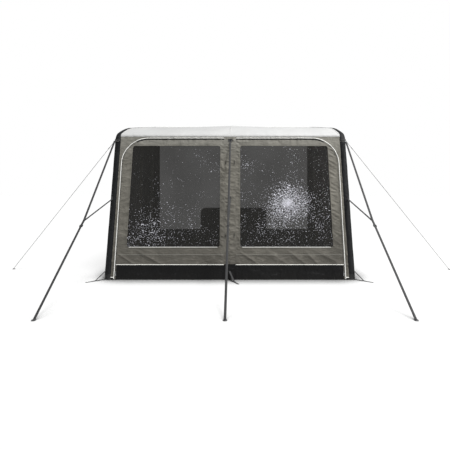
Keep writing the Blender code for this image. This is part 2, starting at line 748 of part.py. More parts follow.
def side_door(word, side):
    """A side door with its window, hinged on its front edge."""
    corners = door_corners()
    sill_y = SIDE_WINDOW_SILL
    inner = grown(corners, -DOOR_FRAME)
    opening = [(Vector((door_front(sill_y) + DOOR_FRAME, sill_y)), SIDE_WINDOW_RADIUS),
               (Vector((inner[1][0].x, sill_y)), SIDE_WINDOW_RADIUS),
               (inner[2][0], SIDE_WINDOW_RADIUS), (inner[3][0], SIDE_WINDOW_RADIUS)]
    depth = -side * ACROSS
    door = plate(f"side_door_{word}", rounded(corners), side_place(side, 0), CLOTH * depth, "grey_cloth",
                 [rounded(opening)])
    film = plate(f"side_window_{word}", rounded(grown(opening, WINDOW_LAP)), side_place(side, CLOTH + GAP),
                 FILM * depth, "window_film")
    carried(f"side_door_{word}_hinge", Vector((side * side_x(0), door_front(0), 0)), [door, film])


# Rear pads and skirts

def rear_pad(word, side):
    """A foam pad that seals a side wall's rear edge."""
    under_tube = side_path(SIDE_INSET, BEAM_BEND - SLEEVE_RADIUS - JOIN_GAP, 0, PAD_FRONT_Y)[-1][0].z
    x_low, x_high = sorted((side * PAD_INNER_X, side * PAD_OUTER_X))
    corners = [(Vector((x_low, PAD_FRONT_Y)), PAD_ROUNDING), (Vector((x_high, PAD_FRONT_Y)), PAD_ROUNDING),
               (Vector((x_high, REAR_Y)), PAD_ROUNDING), (Vector((x_low, REAR_Y)), PAD_ROUNDING)]
    return plate(f"rear_pad_{word}", rounded(corners), lambda x, y: Vector((x, y, 0)), under_tube * UP,
                 "foam_pad")


def rear_cloths():
    """The draught skirt across the rear's foot, and the wheel arch cover in front of it."""
    wide = PAD_INNER_X - JOIN_GAP
    face = REAR_Y - PAD_ROUNDING - CLOTH - GAP
    skirt = [Vector((-wide, 0)), Vector((wide, 0)), Vector((wide, DRAUGHT_HEIGHT)),
             Vector((-wide, DRAUGHT_HEIGHT))]
    plate("draught_skirt", skirt, lambda x, z: Vector((x, face, z)), CLOTH * BACK, "black_cloth")
    cover = [(Vector((-WHEEL_HALF_WIDTH, 0)), 0), (Vector((WHEEL_HALF_WIDTH, 0)), 0),
             (Vector((WHEEL_HALF_WIDTH, WHEEL_HEIGHT)), WHEEL_CORNER_RADIUS),
             (Vector((-WHEEL_HALF_WIDTH, WHEEL_HEIGHT)), WHEEL_CORNER_RADIUS)]
    before = face - CLOTH - GAP
    plate("wheel_arch_cover", rounded(cover), lambda x, z: Vector((x, before, z)), CLOTH * BACK,
          "black_cloth")


# Storm straps

def strap_x(side):
    """Where a strap's middle stands at its anchor."""
    return side * (corner_x(ANCHOR_HEIGHT) + STRAP_SIDE_OFFSET)


BAR_HEIGHT = ANCHOR_HEIGHT - ANCHOR_TALL / 2
BAR_Y = front_y(BAR_HEIGHT) - LOOP_REACH - LOOP_ROD
EYE_INNER = LOOP_ROD + EYE_CLEARANCE
EYE_OUTER = EYE_INNER + EYE_WALL
PEG_EYE_INNER = PEG_ROD + EYE_CLEARANCE
PEG_EYE_OUTER = PEG_EYE_INNER + EYE_WALL
PEG_BAR_Z = PEG_EYE_OUTER + GAP
TOP_BAR = Vector((BAR_Y, BAR_HEIGHT))
JUNCTION = Vector((FRONT_Y - JUNCTION_REACH, JUNCTION_HEIGHT))
PEG_BAR = Vector((FRONT_Y - PEG_REACH, PEG_BAR_Z))


def strap_place(side):
    """Lays (across, y, z) in a strap's plane, which splays outwards at the corners."""
    splay = side * STRAP_SPLAY
    middle = strap_x(side)
    return lambda across, y, z: Vector((middle + splay * (BAR_Y - y) + across, y, z))


def left_of(direction):
    """The direction turned a quarter anticlockwise."""
    return Vector((-direction.y, direction.x))


def turned_about(centre, radius, start, sweep, count):
    """Arc points about a centre in the side view."""
    return [centre + radius * Vector((math.cos(start + a), math.sin(start + a)))
            for a in steps(0, sweep, count)]


def slab(name, outline, place, slot, holes=()):
    """A side-view outline given the strap's width."""
    def laid(y, z):
        return place(-STRAP_WIDTH / 2, y, z)
    return plate(name, outline, laid, STRAP_WIDTH * ACROSS, slot, holes)


def storm_strap(word, side):
    """A strap from the eave down to the junction and on to the peg ring, with a sewn eye at each end."""
    upper = (JUNCTION - TOP_BAR).normalized()
    lower = (PEG_BAR - JUNCTION).normalized()
    half = STRAP_THICKNESS / 2
    mitre = (left_of(upper) + left_of(lower)) / (1 + upper.dot(lower)) * half
    outline = []
    for centre, radius, toward in ((TOP_BAR, EYE_OUTER, upper), (PEG_BAR, PEG_EYE_OUTER, -lower)):
        bearing = math.atan2(toward.y, toward.x)
        tuck = math.asin(half / radius)
        outline += turned_about(centre, radius, bearing + tuck, 2 * (math.pi - tuck), EYE_STEPS)
        outline.append(JUNCTION - mitre if centre == TOP_BAR else JUNCTION + mitre)
    holes = [turned_about(TOP_BAR, EYE_INNER, 0, 2 * math.pi, EYE_STEPS)[:-1],
             turned_about(PEG_BAR, PEG_EYE_INNER, 0, 2 * math.pi, EYE_STEPS)[:-1]]
    return slab(f"storm_strap_{word}", outline, strap_place(side), "webbing", holes)


def front_of_leg(side):
    """How far in front of the wall's face a branch's sewn end lies."""
    if not side:
        return GAP
    aside = abs(strap_x(1)) - STRAP_WIDTH / 2 - corner_x(BRANCH_HEIGHT)
    aside += STRAP_SPLAY * (BAR_Y - front_y(BRANCH_HEIGHT))
    return math.sqrt(SLEEVE_RADIUS ** 2 - min(0, aside) ** 2) - SLEEVE_INSET + JOIN_GAP


def strap_branch(word, side):
    """A short strap from the wall that draws the storm strap inwards, sewn along it below the junction."""
    half = STRAP_THICKNESS / 2
    stand = front_of_leg(side) / math.cos(FRONT_LEAN) + half
    top = BRANCH_HEIGHT + BRANCH_TAIL
    lower = (PEG_BAR - JUNCTION).normalized()
    aside = left_of(lower) * (STRAP_THICKNESS + GAP)
    path = [Vector((front_y(top) - stand, top)), Vector((front_y(BRANCH_HEIGHT) - stand, BRANCH_HEIGHT)),
            JUNCTION + aside + lower * BRANCH_LAP / 3, JUNCTION + aside + lower * BRANCH_LAP]
    runs = [(b - a).normalized() for a, b in zip(path, path[1:])]
    offsets = [left_of(runs[0]) * half]
    for before, after in zip(runs, runs[1:]):
        offsets.append((left_of(before) + left_of(after)) / (1 + before.dot(after)) * half)
    offsets.append(left_of(runs[-1]) * half)
    outline = [p + o for p, o in zip(path, offsets)] + [p - o for p, o in zip(path, offsets)][::-1]
    return slab(f"strap_branch_{word}", outline, strap_place(side), "webbing")


def strap_buckle(word, side):
    """A ladder buckle on the lower run: two rails, a bar over the strap and two bars under it."""
    lower = (PEG_BAR - JUNCTION).normalized()
    out = -left_of(lower)
    start = JUNCTION + lower * BUCKLE_DISTANCE
    laid = strap_place(side)

    def place(across, along, over):
        spot = start + along * lower + over * out
        return laid(across, spot.x, spot.y)
    name = f"strap_buckle_{word}"
    near = STRAP_THICKNESS / 2 + JOIN_GAP
    far = near + BUCKLE_BAR
    inside = STRAP_WIDTH / 2 + JOIN_GAP
    outside = inside + BUCKLE_RAIL
    pieces = []
    for number, turn in enumerate((-1, 1)):
        low, high = sorted((turn * inside, turn * outside))
        pieces.append(block(name if number == 0 else f"{name}_rail", place, (low, 0, -far),
                            (high, BUCKLE_LENGTH, far), "moulded_plastic"))
    bars = ((0, -far, -near), (BUCKLE_LENGTH / 2 - BUCKLE_BAR / 2, near, far),
            (BUCKLE_LENGTH - BUCKLE_BAR, -far, -near))
    for number, (along, low, high) in enumerate(bars):
        reach = (inside + outside) / 2
        pieces.append(block(f"{name}_bar_{number}", place, (-reach, along, low),
                            (reach, along + BUCKLE_BAR, high), "moulded_plastic"))
    boolean(pieces[0], pieces[1:], "UNION")
    carried(f"{name}_slide", place(0, 0, 0), [pieces[0]])


def eave_anchor(word, side):
    """A webbing patch at the eave with a steel loop that holds the strap's upper eye."""
    name = f"eave_anchor_{word}"
    low = ANCHOR_HEIGHT - ANCHOR_TALL / 2
    laid = strap_place(side)
    bar = [laid(x, TOP_BAR.x, TOP_BAR.y) for x in (-LOOP_HALF_WIDTH, LOOP_HALF_WIDTH)]
    inner = (SLEEVE_RADIUS / math.cos(FRONT_LEAN) + GAP) / math.cos(ANCHOR_SWEEP / ROUND_SIDES)
    if side:
        loops = []
        for height in (low, low + ANCHOR_TALL):
            centre = leg_centre(side, height, SLEEVE_INSET)
            arcs = [circle(centre, size, -BACK, side * ACROSS, ROUND_SIDES // 2, ANCHOR_START,
                           ANCHOR_SWEEP, True) for size in (inner, inner + ANCHOR_CLOTH)]
            loops.append(arcs[0] + arcs[1][::-1])
        patch = skin(name, loops, "webbing", smooth=False)
    else:
        wide = ANCHOR_HALF_WIDTH
        corners = [Vector((-wide, low)), Vector((wide, low)), Vector((wide, low + ANCHOR_TALL)),
                   Vector((-wide, low + ANCHOR_TALL))]
        patch = plate(name, corners, front_place(-GAP), -ANCHOR_CLOTH * BACK, "webbing")
    roots = []
    for end in bar:
        height = ANCHOR_HEIGHT
        stand = GAP + ANCHOR_CLOTH / 2
        if side:
            centre = leg_centre(side, height, SLEEVE_INSET)
            middle = inner + ANCHOR_CLOTH / 2
            y = centre.y - math.sqrt(max(0, middle ** 2 - (end.x - centre.x) ** 2))
        else:
            y = front_y(height) - stand
        roots.append(Vector((end.x, y, height)))
    turn = LOOP_ROD * 2
    route = rounded([(roots[0], 0), (bar[0], turn), (bar[1], turn), (roots[1], 0)], closed=False)
    rod = swept(f"{name}_loop", route, LOOP_ROD, "steel")
    return boolean(patch, [rod], "UNION")


def peg_ring(word, side):
    """A steel D ring in the strap's lower eye, lying on the ground and hinged on its straight bar."""
    laid = strap_place(side)
    centre = laid(0, PEG_BAR.x, PEG_BAR.y)
    reach = PEG_SHANK + PEG_HALF_WIDTH
    tilt = math.asin((PEG_BAR_Z - PEG_ROD) / reach)
    out = Vector((0, -math.cos(tilt), -math.sin(tilt)))
    wide = PEG_HALF_WIDTH
    route = rounded([(centre + wide * ACROSS + PEG_SHANK * out, 0),
                     (centre + wide * ACROSS, PEG_CORNER_RADIUS),
                     (centre - wide * ACROSS, PEG_CORNER_RADIUS),
                     (centre - wide * ACROSS + PEG_SHANK * out, 0)], closed=False)
    bow = circle(centre + PEG_SHANK * out, wide, -ACROSS, out, EYE_STEPS, 0, math.pi, True)
    ring = swept(f"peg_ring_{word}", route + bow[1:-1], PEG_ROD, "steel", closed=True)
    carried(f"peg_ring_{word}_hinge", centre, [ring])


# Guy ropes

def rope_route(side):
    """The rope's straight run from the anchor's patch to its peg loop, and its direction."""
    height = ANCHOR_HEIGHT
    centre = leg_centre(side, height, SLEEVE_INSET)
    end = Vector((side * ROPE_PEG_X, FRONT_Y + ROPE_PEG_Y, ROPE_RADIUS + GAP))
    flank = centre + side * (SLEEVE_RADIUS + GAP + ANCHOR_CLOTH) * ACROSS
    direction = (end - flank).normalized()
    clear = GAP + ROPE_RADIUS * math.sqrt(1 - direction.x ** 2)
    return flank + side * clear * ACROSS, end


def guy_rope(word, side):
    """A taut rope from the eave's corner to the ground, where it ends in a loop for its peg."""
    start, end = rope_route(side)
    flat = Vector((end.x - start.x, end.y - start.y, 0)).normalized()
    loop_centre = end + ROPE_LOOP_RADIUS * flat.cross(UP)
    loop = circle(loop_centre, ROPE_LOOP_RADIUS, -flat.cross(UP), flat, ROPE_LOOP_STEPS, 0,
                  2 * math.pi * ROPE_LOOP_SHARE, True)
    points = [start + (end - start) * share for share in steps(0, 1, ROPE_STEPS)]
    curve = bpy.data.curves.new(f"guy_rope_{word}", "CURVE")
    curve.dimensions = "3D"
    spline = curve.splines.new("POLY")
    route = points + loop[1:]
    spline.points.add(len(route) - 1)
    for place, point in zip(spline.points, route):
        place.co = (*point, 1)
    curve.bevel_depth = ROPE_RADIUS
    curve.bevel_resolution = 2
    curve.use_fill_caps = True
    curve.materials.append(material("rope"))
    rope = bpy.data.objects.new(f"guy_rope_{word}", curve)
    bpy.context.collection.objects.link(rope)
    return rope


def guy_runner(word, side):
    """A plastic runner on the rope, which slides along it to take up slack."""
    start, end = rope_route(side)
    along = (end - start).normalized()
    across = along.cross(UP).normalized()
    out = across.cross(along)
    base = start + RUNNER_DISTANCE * along
    bore = ROPE_RADIUS + RUNNER_BORE_CLEARANCE
    loops = []
    for reach, outer in ((0, False), (0, True), (RUNNER_LENGTH, True), (RUNNER_LENGTH, False)):
        centre = base + reach * along
        points = []
        for i in range(EYE_STEPS):
            turn = 2 * math.pi * i / EYE_STEPS
            wide = RUNNER_HALF_WIDTH if outer else bore
            thick = RUNNER_HALF_THICKNESS if outer else bore
            points.append(centre + wide * math.cos(turn) * across + thick * math.sin(turn) * out)
        loops.append(points)
    runner = skin(f"guy_runner_{word}", loops, "moulded_plastic", ring=True)
    carried(f"guy_runner_{word}_slide", base, [runner])


# Ground straps

def ground_strap(word, side):
    """A forked webbing tail from a beam's foot to a peg eyelet on the ground."""
    bearing = CORNER_TAIL_BEARING if side else CENTRE_TAIL_BEARING
    toward = Vector(((side or 1) * math.cos(bearing), math.sin(bearing), 0))
    across = UP.cross(toward)
    recede = math.tan(FRONT_LEAN) * abs(toward.y)
    if side:
        start = leg_centre(side, 0, SLEEVE_INSET) + (SLEEVE_RADIUS + GAP) * toward
        recede += CORNER_TAPER * abs(toward.x)
    else:
        clear = (JOIN_GAP + STRAP_WIDTH / 2 * abs(toward.x)) / abs(toward.y)
        start = Vector((0, FRONT_Y, 0)) + clear * toward
    thick = TAIL_THICKNESS
    leg = TAIL_LEG_HEIGHT
    outline = [Vector((0, 0)), Vector((TAIL_LENGTH, 0)), Vector((TAIL_LENGTH, thick)),
               Vector((TAIL_JOIN + thick, thick)), Vector((-leg * recede, leg + thick)),
               Vector((-leg * recede, leg)), Vector((TAIL_JOIN - thick, thick)), Vector((0, thick))]

    def laid(reach, height):
        return start + reach * toward + height * UP - STRAP_WIDTH / 2 * across
    tail = plate(f"ground_strap_{word}", outline, laid, STRAP_WIDTH * across, "webbing")
    spot = start + (TAIL_LENGTH - EYELET_EDGE) * toward
    hole = [circle(spot + height * UP, EYELET_RADIUS, toward, across, EYE_STEPS)
            for height in (-thick, 2 * thick)]
    return boolean(tail, [skin(f"ground_strap_{word}_eyelet", hole, "webbing")], "DIFFERENCE")


def build():
    """The whole awning."""
    for thing in list(bpy.data.objects):
        bpy.data.objects.remove(thing, do_unlink=True)
    roof_panel()
    keder_bead()
    front_surround()
    centre_strip()
    rear_cloths()
    air_beam("centre_beam", 0, CENTRE_INSET, CENTRE_RADIUS)
    foot("beam_foot_centre", 0, CENTRE_INSET, CENTRE_RADIUS + GAP + SLEEVE_WALL)
    for word, side in SIDES:
        air_beam(f"corner_beam_{word}", side, SLEEVE_INSET, BEAM_RADIUS)
        sleeve(f"corner_sleeve_{word}", side)
        foot(f"beam_foot_{word}", side, SLEEVE_INSET, SLEEVE_RADIUS)
        front_panel(word, side)
        zip_pull(word, side)
        side_wall(word, side)
        side_band(word, side)
        side_door(word, side)
        rear_pad(word, side)
        guy_rope(word, side)
        guy_runner(word, side)
    for word, side in (("left", -1), ("centre", 0), ("right", 1)):
        valve(word, side)
        eave_anchor(word, side)
        storm_strap(word, side)
        strap_branch(word, side)
        strap_buckle(word, side)
        peg_ring(word, side)
        ground_strap(word, side)


build()
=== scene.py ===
"""The looks of an inflatable caravan awning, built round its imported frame. Metres, +Z up.

The front faces -Y. Left and right are as seen from the front, so the right side is +X.
"""
import json
import math

import bmesh
import bpy
import numpy as np
from mathutils import Vector, geometry, noise
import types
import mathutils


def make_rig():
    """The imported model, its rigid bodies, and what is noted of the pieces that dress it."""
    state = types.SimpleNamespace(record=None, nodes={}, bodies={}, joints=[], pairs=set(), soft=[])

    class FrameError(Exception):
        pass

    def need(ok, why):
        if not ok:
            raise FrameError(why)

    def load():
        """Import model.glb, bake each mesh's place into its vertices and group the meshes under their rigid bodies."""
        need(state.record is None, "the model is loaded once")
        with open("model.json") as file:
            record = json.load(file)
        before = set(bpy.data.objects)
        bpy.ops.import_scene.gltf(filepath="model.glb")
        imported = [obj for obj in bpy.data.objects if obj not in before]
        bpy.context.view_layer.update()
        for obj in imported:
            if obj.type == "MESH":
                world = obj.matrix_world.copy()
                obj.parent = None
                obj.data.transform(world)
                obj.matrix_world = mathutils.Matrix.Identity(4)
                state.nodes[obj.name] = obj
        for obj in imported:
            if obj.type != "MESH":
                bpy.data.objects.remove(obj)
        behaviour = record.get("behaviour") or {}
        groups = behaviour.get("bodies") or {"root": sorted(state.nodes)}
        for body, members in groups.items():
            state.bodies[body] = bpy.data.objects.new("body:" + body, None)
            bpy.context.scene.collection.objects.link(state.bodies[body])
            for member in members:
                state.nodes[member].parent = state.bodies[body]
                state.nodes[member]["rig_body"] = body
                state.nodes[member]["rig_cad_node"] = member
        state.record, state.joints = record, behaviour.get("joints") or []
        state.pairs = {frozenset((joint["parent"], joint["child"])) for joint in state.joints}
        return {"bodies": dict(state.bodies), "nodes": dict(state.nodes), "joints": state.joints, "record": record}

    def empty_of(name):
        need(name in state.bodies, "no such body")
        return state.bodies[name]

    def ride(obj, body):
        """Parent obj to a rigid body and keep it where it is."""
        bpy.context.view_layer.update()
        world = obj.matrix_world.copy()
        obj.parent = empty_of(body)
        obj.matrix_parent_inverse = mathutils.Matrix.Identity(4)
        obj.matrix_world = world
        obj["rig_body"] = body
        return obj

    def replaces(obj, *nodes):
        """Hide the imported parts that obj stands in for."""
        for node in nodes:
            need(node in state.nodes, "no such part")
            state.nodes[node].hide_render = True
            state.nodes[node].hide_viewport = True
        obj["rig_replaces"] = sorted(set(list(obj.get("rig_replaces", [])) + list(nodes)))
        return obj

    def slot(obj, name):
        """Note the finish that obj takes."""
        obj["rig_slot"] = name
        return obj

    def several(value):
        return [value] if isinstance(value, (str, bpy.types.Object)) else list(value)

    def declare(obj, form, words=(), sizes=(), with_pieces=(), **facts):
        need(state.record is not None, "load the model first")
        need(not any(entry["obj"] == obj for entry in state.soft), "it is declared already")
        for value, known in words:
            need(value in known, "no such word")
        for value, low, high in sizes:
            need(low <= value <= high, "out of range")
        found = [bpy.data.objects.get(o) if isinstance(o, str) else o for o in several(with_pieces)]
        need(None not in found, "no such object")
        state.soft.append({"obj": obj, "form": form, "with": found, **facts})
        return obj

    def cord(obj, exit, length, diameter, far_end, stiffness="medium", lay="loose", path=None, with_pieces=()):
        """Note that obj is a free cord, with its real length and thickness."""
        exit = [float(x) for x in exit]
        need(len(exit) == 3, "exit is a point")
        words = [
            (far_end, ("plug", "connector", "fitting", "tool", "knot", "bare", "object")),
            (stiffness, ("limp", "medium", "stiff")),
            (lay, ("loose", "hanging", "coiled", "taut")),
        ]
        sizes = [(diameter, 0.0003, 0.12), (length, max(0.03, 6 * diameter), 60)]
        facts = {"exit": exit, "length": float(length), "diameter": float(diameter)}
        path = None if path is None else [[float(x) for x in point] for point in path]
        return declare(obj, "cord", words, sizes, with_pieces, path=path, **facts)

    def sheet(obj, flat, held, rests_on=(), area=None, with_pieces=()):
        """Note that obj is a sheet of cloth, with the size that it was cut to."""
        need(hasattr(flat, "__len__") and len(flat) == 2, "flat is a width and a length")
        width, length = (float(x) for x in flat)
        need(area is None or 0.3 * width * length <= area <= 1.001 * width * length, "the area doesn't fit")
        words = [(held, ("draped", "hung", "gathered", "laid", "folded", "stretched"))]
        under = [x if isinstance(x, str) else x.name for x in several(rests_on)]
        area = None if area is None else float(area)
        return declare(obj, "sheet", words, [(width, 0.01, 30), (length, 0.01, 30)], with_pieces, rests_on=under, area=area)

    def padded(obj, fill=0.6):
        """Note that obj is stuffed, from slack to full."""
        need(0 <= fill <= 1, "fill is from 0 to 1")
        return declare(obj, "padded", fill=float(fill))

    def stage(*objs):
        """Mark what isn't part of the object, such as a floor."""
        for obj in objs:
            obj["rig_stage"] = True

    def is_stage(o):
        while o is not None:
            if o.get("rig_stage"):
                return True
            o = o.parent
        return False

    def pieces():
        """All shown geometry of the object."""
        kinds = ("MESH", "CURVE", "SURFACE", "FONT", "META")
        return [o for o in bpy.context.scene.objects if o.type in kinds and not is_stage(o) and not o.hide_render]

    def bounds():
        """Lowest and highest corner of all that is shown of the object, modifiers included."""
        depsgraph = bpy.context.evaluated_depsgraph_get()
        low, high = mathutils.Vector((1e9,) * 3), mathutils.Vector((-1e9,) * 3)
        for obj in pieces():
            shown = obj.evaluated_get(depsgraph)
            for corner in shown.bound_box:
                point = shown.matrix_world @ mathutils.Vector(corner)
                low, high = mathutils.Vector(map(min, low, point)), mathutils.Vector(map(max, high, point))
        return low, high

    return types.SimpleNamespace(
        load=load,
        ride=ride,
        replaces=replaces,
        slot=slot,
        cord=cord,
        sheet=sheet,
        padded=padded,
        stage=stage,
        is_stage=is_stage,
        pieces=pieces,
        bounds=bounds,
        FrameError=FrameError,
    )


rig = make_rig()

for thing in list(bpy.data.objects):
    bpy.data.objects.remove(thing, do_unlink=True)
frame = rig.load()
cad_low, cad_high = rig.bounds()
NODES = frame["nodes"]

# The sizes that the solids were made to
DEPTH = 2.50
RAIL_HEIGHT = 2.40
BASE_HALF_WIDTH = 1.60
EAVE_HALF_WIDTH = 1.54
FRONT_LEAN = math.radians(7.45)
ROOF_PITCH = math.radians(9.5)
ROOF_FLAT_DEPTH = 1.65
ROOF_ARC_RADIUS = 2.48
EAVE_RADIUS = 0.045
SEAM_DROP = 0.005
RIDGE_RISE = 0.03
RIDGE_FALL_POWER = 1.5
CLOTH = 0.004
GAP = 0.0004
JOIN_GAP = 0.0008
ZIP_GAP = 0.004
SLEEVE_RADIUS = 0.06
SLEEVE_WALL = 0.003
SLEEVE_INSET = 0.055
BEAM_BEND = 0.12
CENTRE_RADIUS = 0.055
FOOT_HEIGHT = 0.07
FOOT_FLOOR = 0.008
REAR_CLEARANCE = 0.004
STRIP_HALF_WIDTH = 0.075
ZIP_BASE_HALF_WIDTH = 1.512
ZIP_TOP_HALF_WIDTH = 1.467
ZIP_HEIGHT = 1.88
ZIP_CORNER_RADIUS = 0.35
SKIRT_HEIGHT = 0.19
WINDOW_INNER_X = 0.136
WINDOW_BASE_X = 1.37
WINDOW_TOP_X = 1.335
WINDOW_SILL = 0.42
WINDOW_HEAD = 1.78
WINDOW_CORNER_RADIUS = 0.03
WINDOW_LAP = 0.015
SIDE_STANDOFF = 0.02
DOOR_STILE = 0.07
DOOR_REAR = 1.515
DOOR_FRONT_HEIGHT = 1.78
DOOR_REAR_HEIGHT = 2.02
DOOR_FRONT_RADIUS = 0.12
DOOR_REAR_RADIUS = 0.18
DOOR_FOOT_RADIUS = 0.02
DOOR_FRAME = 0.09
SIDE_WINDOW_SILL = 0.44
SIDE_WINDOW_RADIUS = 0.05
BAND_FRONT = 1.65
BAND_REAR = 2.24
BAND_DROP = 0.06
PAD_THICKNESS = 0.05
PAD_INNER_X = 1.46
PAD_OUTER_X = 1.65
PAD_ROUNDING = 0.012
KEDER_RADIUS = 0.0035
KEDER_TAIL = 0.025
DRAUGHT_HEIGHT = 0.376
WHEEL_HALF_WIDTH = 0.65
WHEEL_HEIGHT = 0.80
WHEEL_CORNER_RADIUS = 0.10
STRAP_WIDTH = 0.025
STRAP_THICKNESS = 0.002
ANCHOR_HEIGHT = 1.86
ANCHOR_TALL = 0.04
ANCHOR_HALF_WIDTH = 0.03
ANCHOR_CLOTH = 0.003
ANCHOR_SWEEP = math.radians(120)
ANCHOR_START = math.radians(-25)
LOOP_REACH = 0.022
LOOP_HALF_WIDTH = 0.016
LOOP_ROD = 0.002
STRAP_SIDE_OFFSET = 0.043
STRAP_SPLAY = 0.10
JUNCTION_REACH = 0.58
JUNCTION_HEIGHT = 0.84
PEG_REACH = 1.46
EYE_WALL = 0.0015
EYE_CLEARANCE = 0.0006
BRANCH_HEIGHT = 1.05
BRANCH_TAIL = 0.04
BRANCH_LAP = 0.05
BUCKLE_DISTANCE = 0.075
BUCKLE_RAIL = 0.004
BUCKLE_LENGTH = 0.032
BUCKLE_BAR = 0.003
PEG_ROD = 0.0025
PEG_HALF_WIDTH = 0.0165
PEG_SHANK = 0.008
PEG_CORNER_RADIUS = 0.004
ROPE_RADIUS = 0.002
ROPE_PEG_X = 3.22
ROPE_PEG_Y = 0.62
ROPE_LOOP_RADIUS = 0.015
ROPE_LOOP_SHARE = 0.86
RUNNER_DISTANCE = 0.12
RUNNER_LENGTH = 0.036
TAIL_LENGTH = 0.24
TAIL_THICKNESS = 0.0025
TAIL_JOIN = 0.12
TAIL_LEG_HEIGHT = 0.11
EYELET_RADIUS = 0.006
EYELET_EDGE = 0.020
CORNER_TAIL_BEARING = math.radians(-40)
CENTRE_TAIL_BEARING = math.radians(-62)

# The thickness that the real cloth and film show, how far the film lies behind the cloth, and the rope's
# braided surface, which stands a little proud of its solid
COVER = 0.0014
FILM_COVER = 0.0008
FILM_BACK = 0.0030
ROPE_SURFACE = 0.0024
# How far apart the points of a cloth piece lie
MESH_STEP = 0.009
WIDE_STEP = 0.018
FILM_STEP = 0.02
# Heights that only the looks have: the seam across a front panel, and a side door's zip pull above its foot
PANEL_SEAM_Z = 0.32
PULL_HEIGHT = 0.30

FRONT_Y = -DEPTH / 2
REAR_Y = DEPTH / 2
RIDGE_END_Y = REAR_Y - 2 * KEDER_TAIL
WALL_PITCH = math.pi / 2 - FRONT_LEAN
UP_WALL = Vector((0, math.sin(FRONT_LEAN), math.cos(FRONT_LEAN)))
ACROSS = Vector((1, 0, 0))
BACK = Vector((0, 1, 0))
UP = Vector((0, 0, 1))
SIDES = (("left", -1), ("right", 1))
ALL_THREE = (("left", -1), ("centre", 0), ("right", 1))


# Nodes, camera, floor and light

def hex_colour(code):
    """An sRGB hex code as the linear colour that a shader takes."""
    channels = [int(code[i:i + 2], 16) / 255 for i in (1, 3, 5)]
    return (*(c / 12.92 if c <= 0.04045 else ((c + 0.055) / 1.055) ** 2.4 for c in channels), 1.0)


def tinted(colour, times, plus=0.0):
    """A colour made darker or lighter."""
    return tuple(min(1, c * times + plus) for c in colour[:3]) + (1,)


def feed(tree, node, inputs):
    """Gives a node its inputs, each a value or a socket to link from."""
    for key, value in inputs.items():
        if isinstance(value, bpy.types.NodeSocket):
            tree.links.new(value, node.inputs[key])
        else:
            node.inputs[key].default_value = value


def add(tree, kind, inputs=None, **settings):
    """A node with its settings and inputs."""
    made = tree.nodes.new(kind)
    for key, value in settings.items():
        setattr(made, key, value)
    feed(tree, made, inputs or {})
    return made


def maths(tree, operation, first, second=0.5):
    """The result of a sum on sockets or values."""
    return add(tree, "ShaderNodeMath", {0: first, 1: second}, operation=operation).outputs[0]


def mixed(tree, share, first, second):
    """Two colours mixed by a share."""
    return add(tree, "ShaderNodeMix", {0: share, 6: first, 7: second}, data_type="RGBA").outputs[2]


def placed(name, data, place=(0, 0, 0), turn=(0, 0, 0)):
    """A camera, lamp, mesh or curve set in the scene."""
    made = bpy.data.objects.new(name, data)
    made.location, made.rotation_euler = place, turn
    bpy.context.scene.collection.objects.link(made)
    return made


def set_camera():
    """The photograph's level view: 370 px of focal length in a 450 px frame, shifted to its vanishing point."""
    lens = bpy.data.cameras.new("camera")
    lens.sensor_width = 36
    lens.lens = 370 / 450 * lens.sensor_width
    lens.shift_x, lens.shift_y = (225 - 240.8) / 450, (186 - 225) / 450
    lens.clip_end = 200
    bpy.context.scene.camera = placed("camera", lens, (0.145, -6.10, 1.23), (math.pi / 2, 0, 0))


def set_light():
    """A white surround seen by the camera, a dimmer one for the light, a high soft sun, a near lamp that
    brightens the roof's right half and a weak one inside."""
    world = bpy.data.worlds.new("surround")
    bpy.context.scene.world = world
    world.use_nodes = True
    tree = world.node_tree
    tree.nodes.clear()
    path = add(tree, "ShaderNodeLightPath").outputs
    seen = maths(tree, "MAXIMUM", path["Is Camera Ray"], path["Is Transmission Ray"])
    dim, white = (add(tree, "ShaderNodeBackground", {"Color": colour, "Strength": strength}).outputs[0]
                  for colour, strength in ((hex_colour("#F4F6F8"), 0.34), ((1, 1, 1, 1), 1.0)))
    mix = add(tree, "ShaderNodeMixShader", {0: seen, 1: dim, 2: white})
    add(tree, "ShaderNodeOutputWorld", {"Surface": mix.outputs[0]})
    # Place, aim, watts (or the sun's strength) and width in metres (or the sun's angle)
    for name, kind, place, aim, power, width in (
            ("high_sun", "SUN", (2.6, -3.0, 8.0), (0, 0, 0), 3.1, math.radians(14)),
            ("right_lamp", "AREA", (5.2, -2.8, 4.6), (0.4, -0.4, 1.6), 215, 1.6),
            ("inside_lamp", "AREA", (0, 0.1, 1.86), (0, 0.1, 0), 30, 1.0)):
        lamp = bpy.data.lights.new(name, kind)
        lamp.energy = power
        if kind == "SUN":
            lamp.angle = width
        else:
            lamp.shape, lamp.size = "DISK", width
        placed(name, lamp, place, (Vector(aim) - Vector(place)).to_track_quat("-Z", "Y").to_euler())


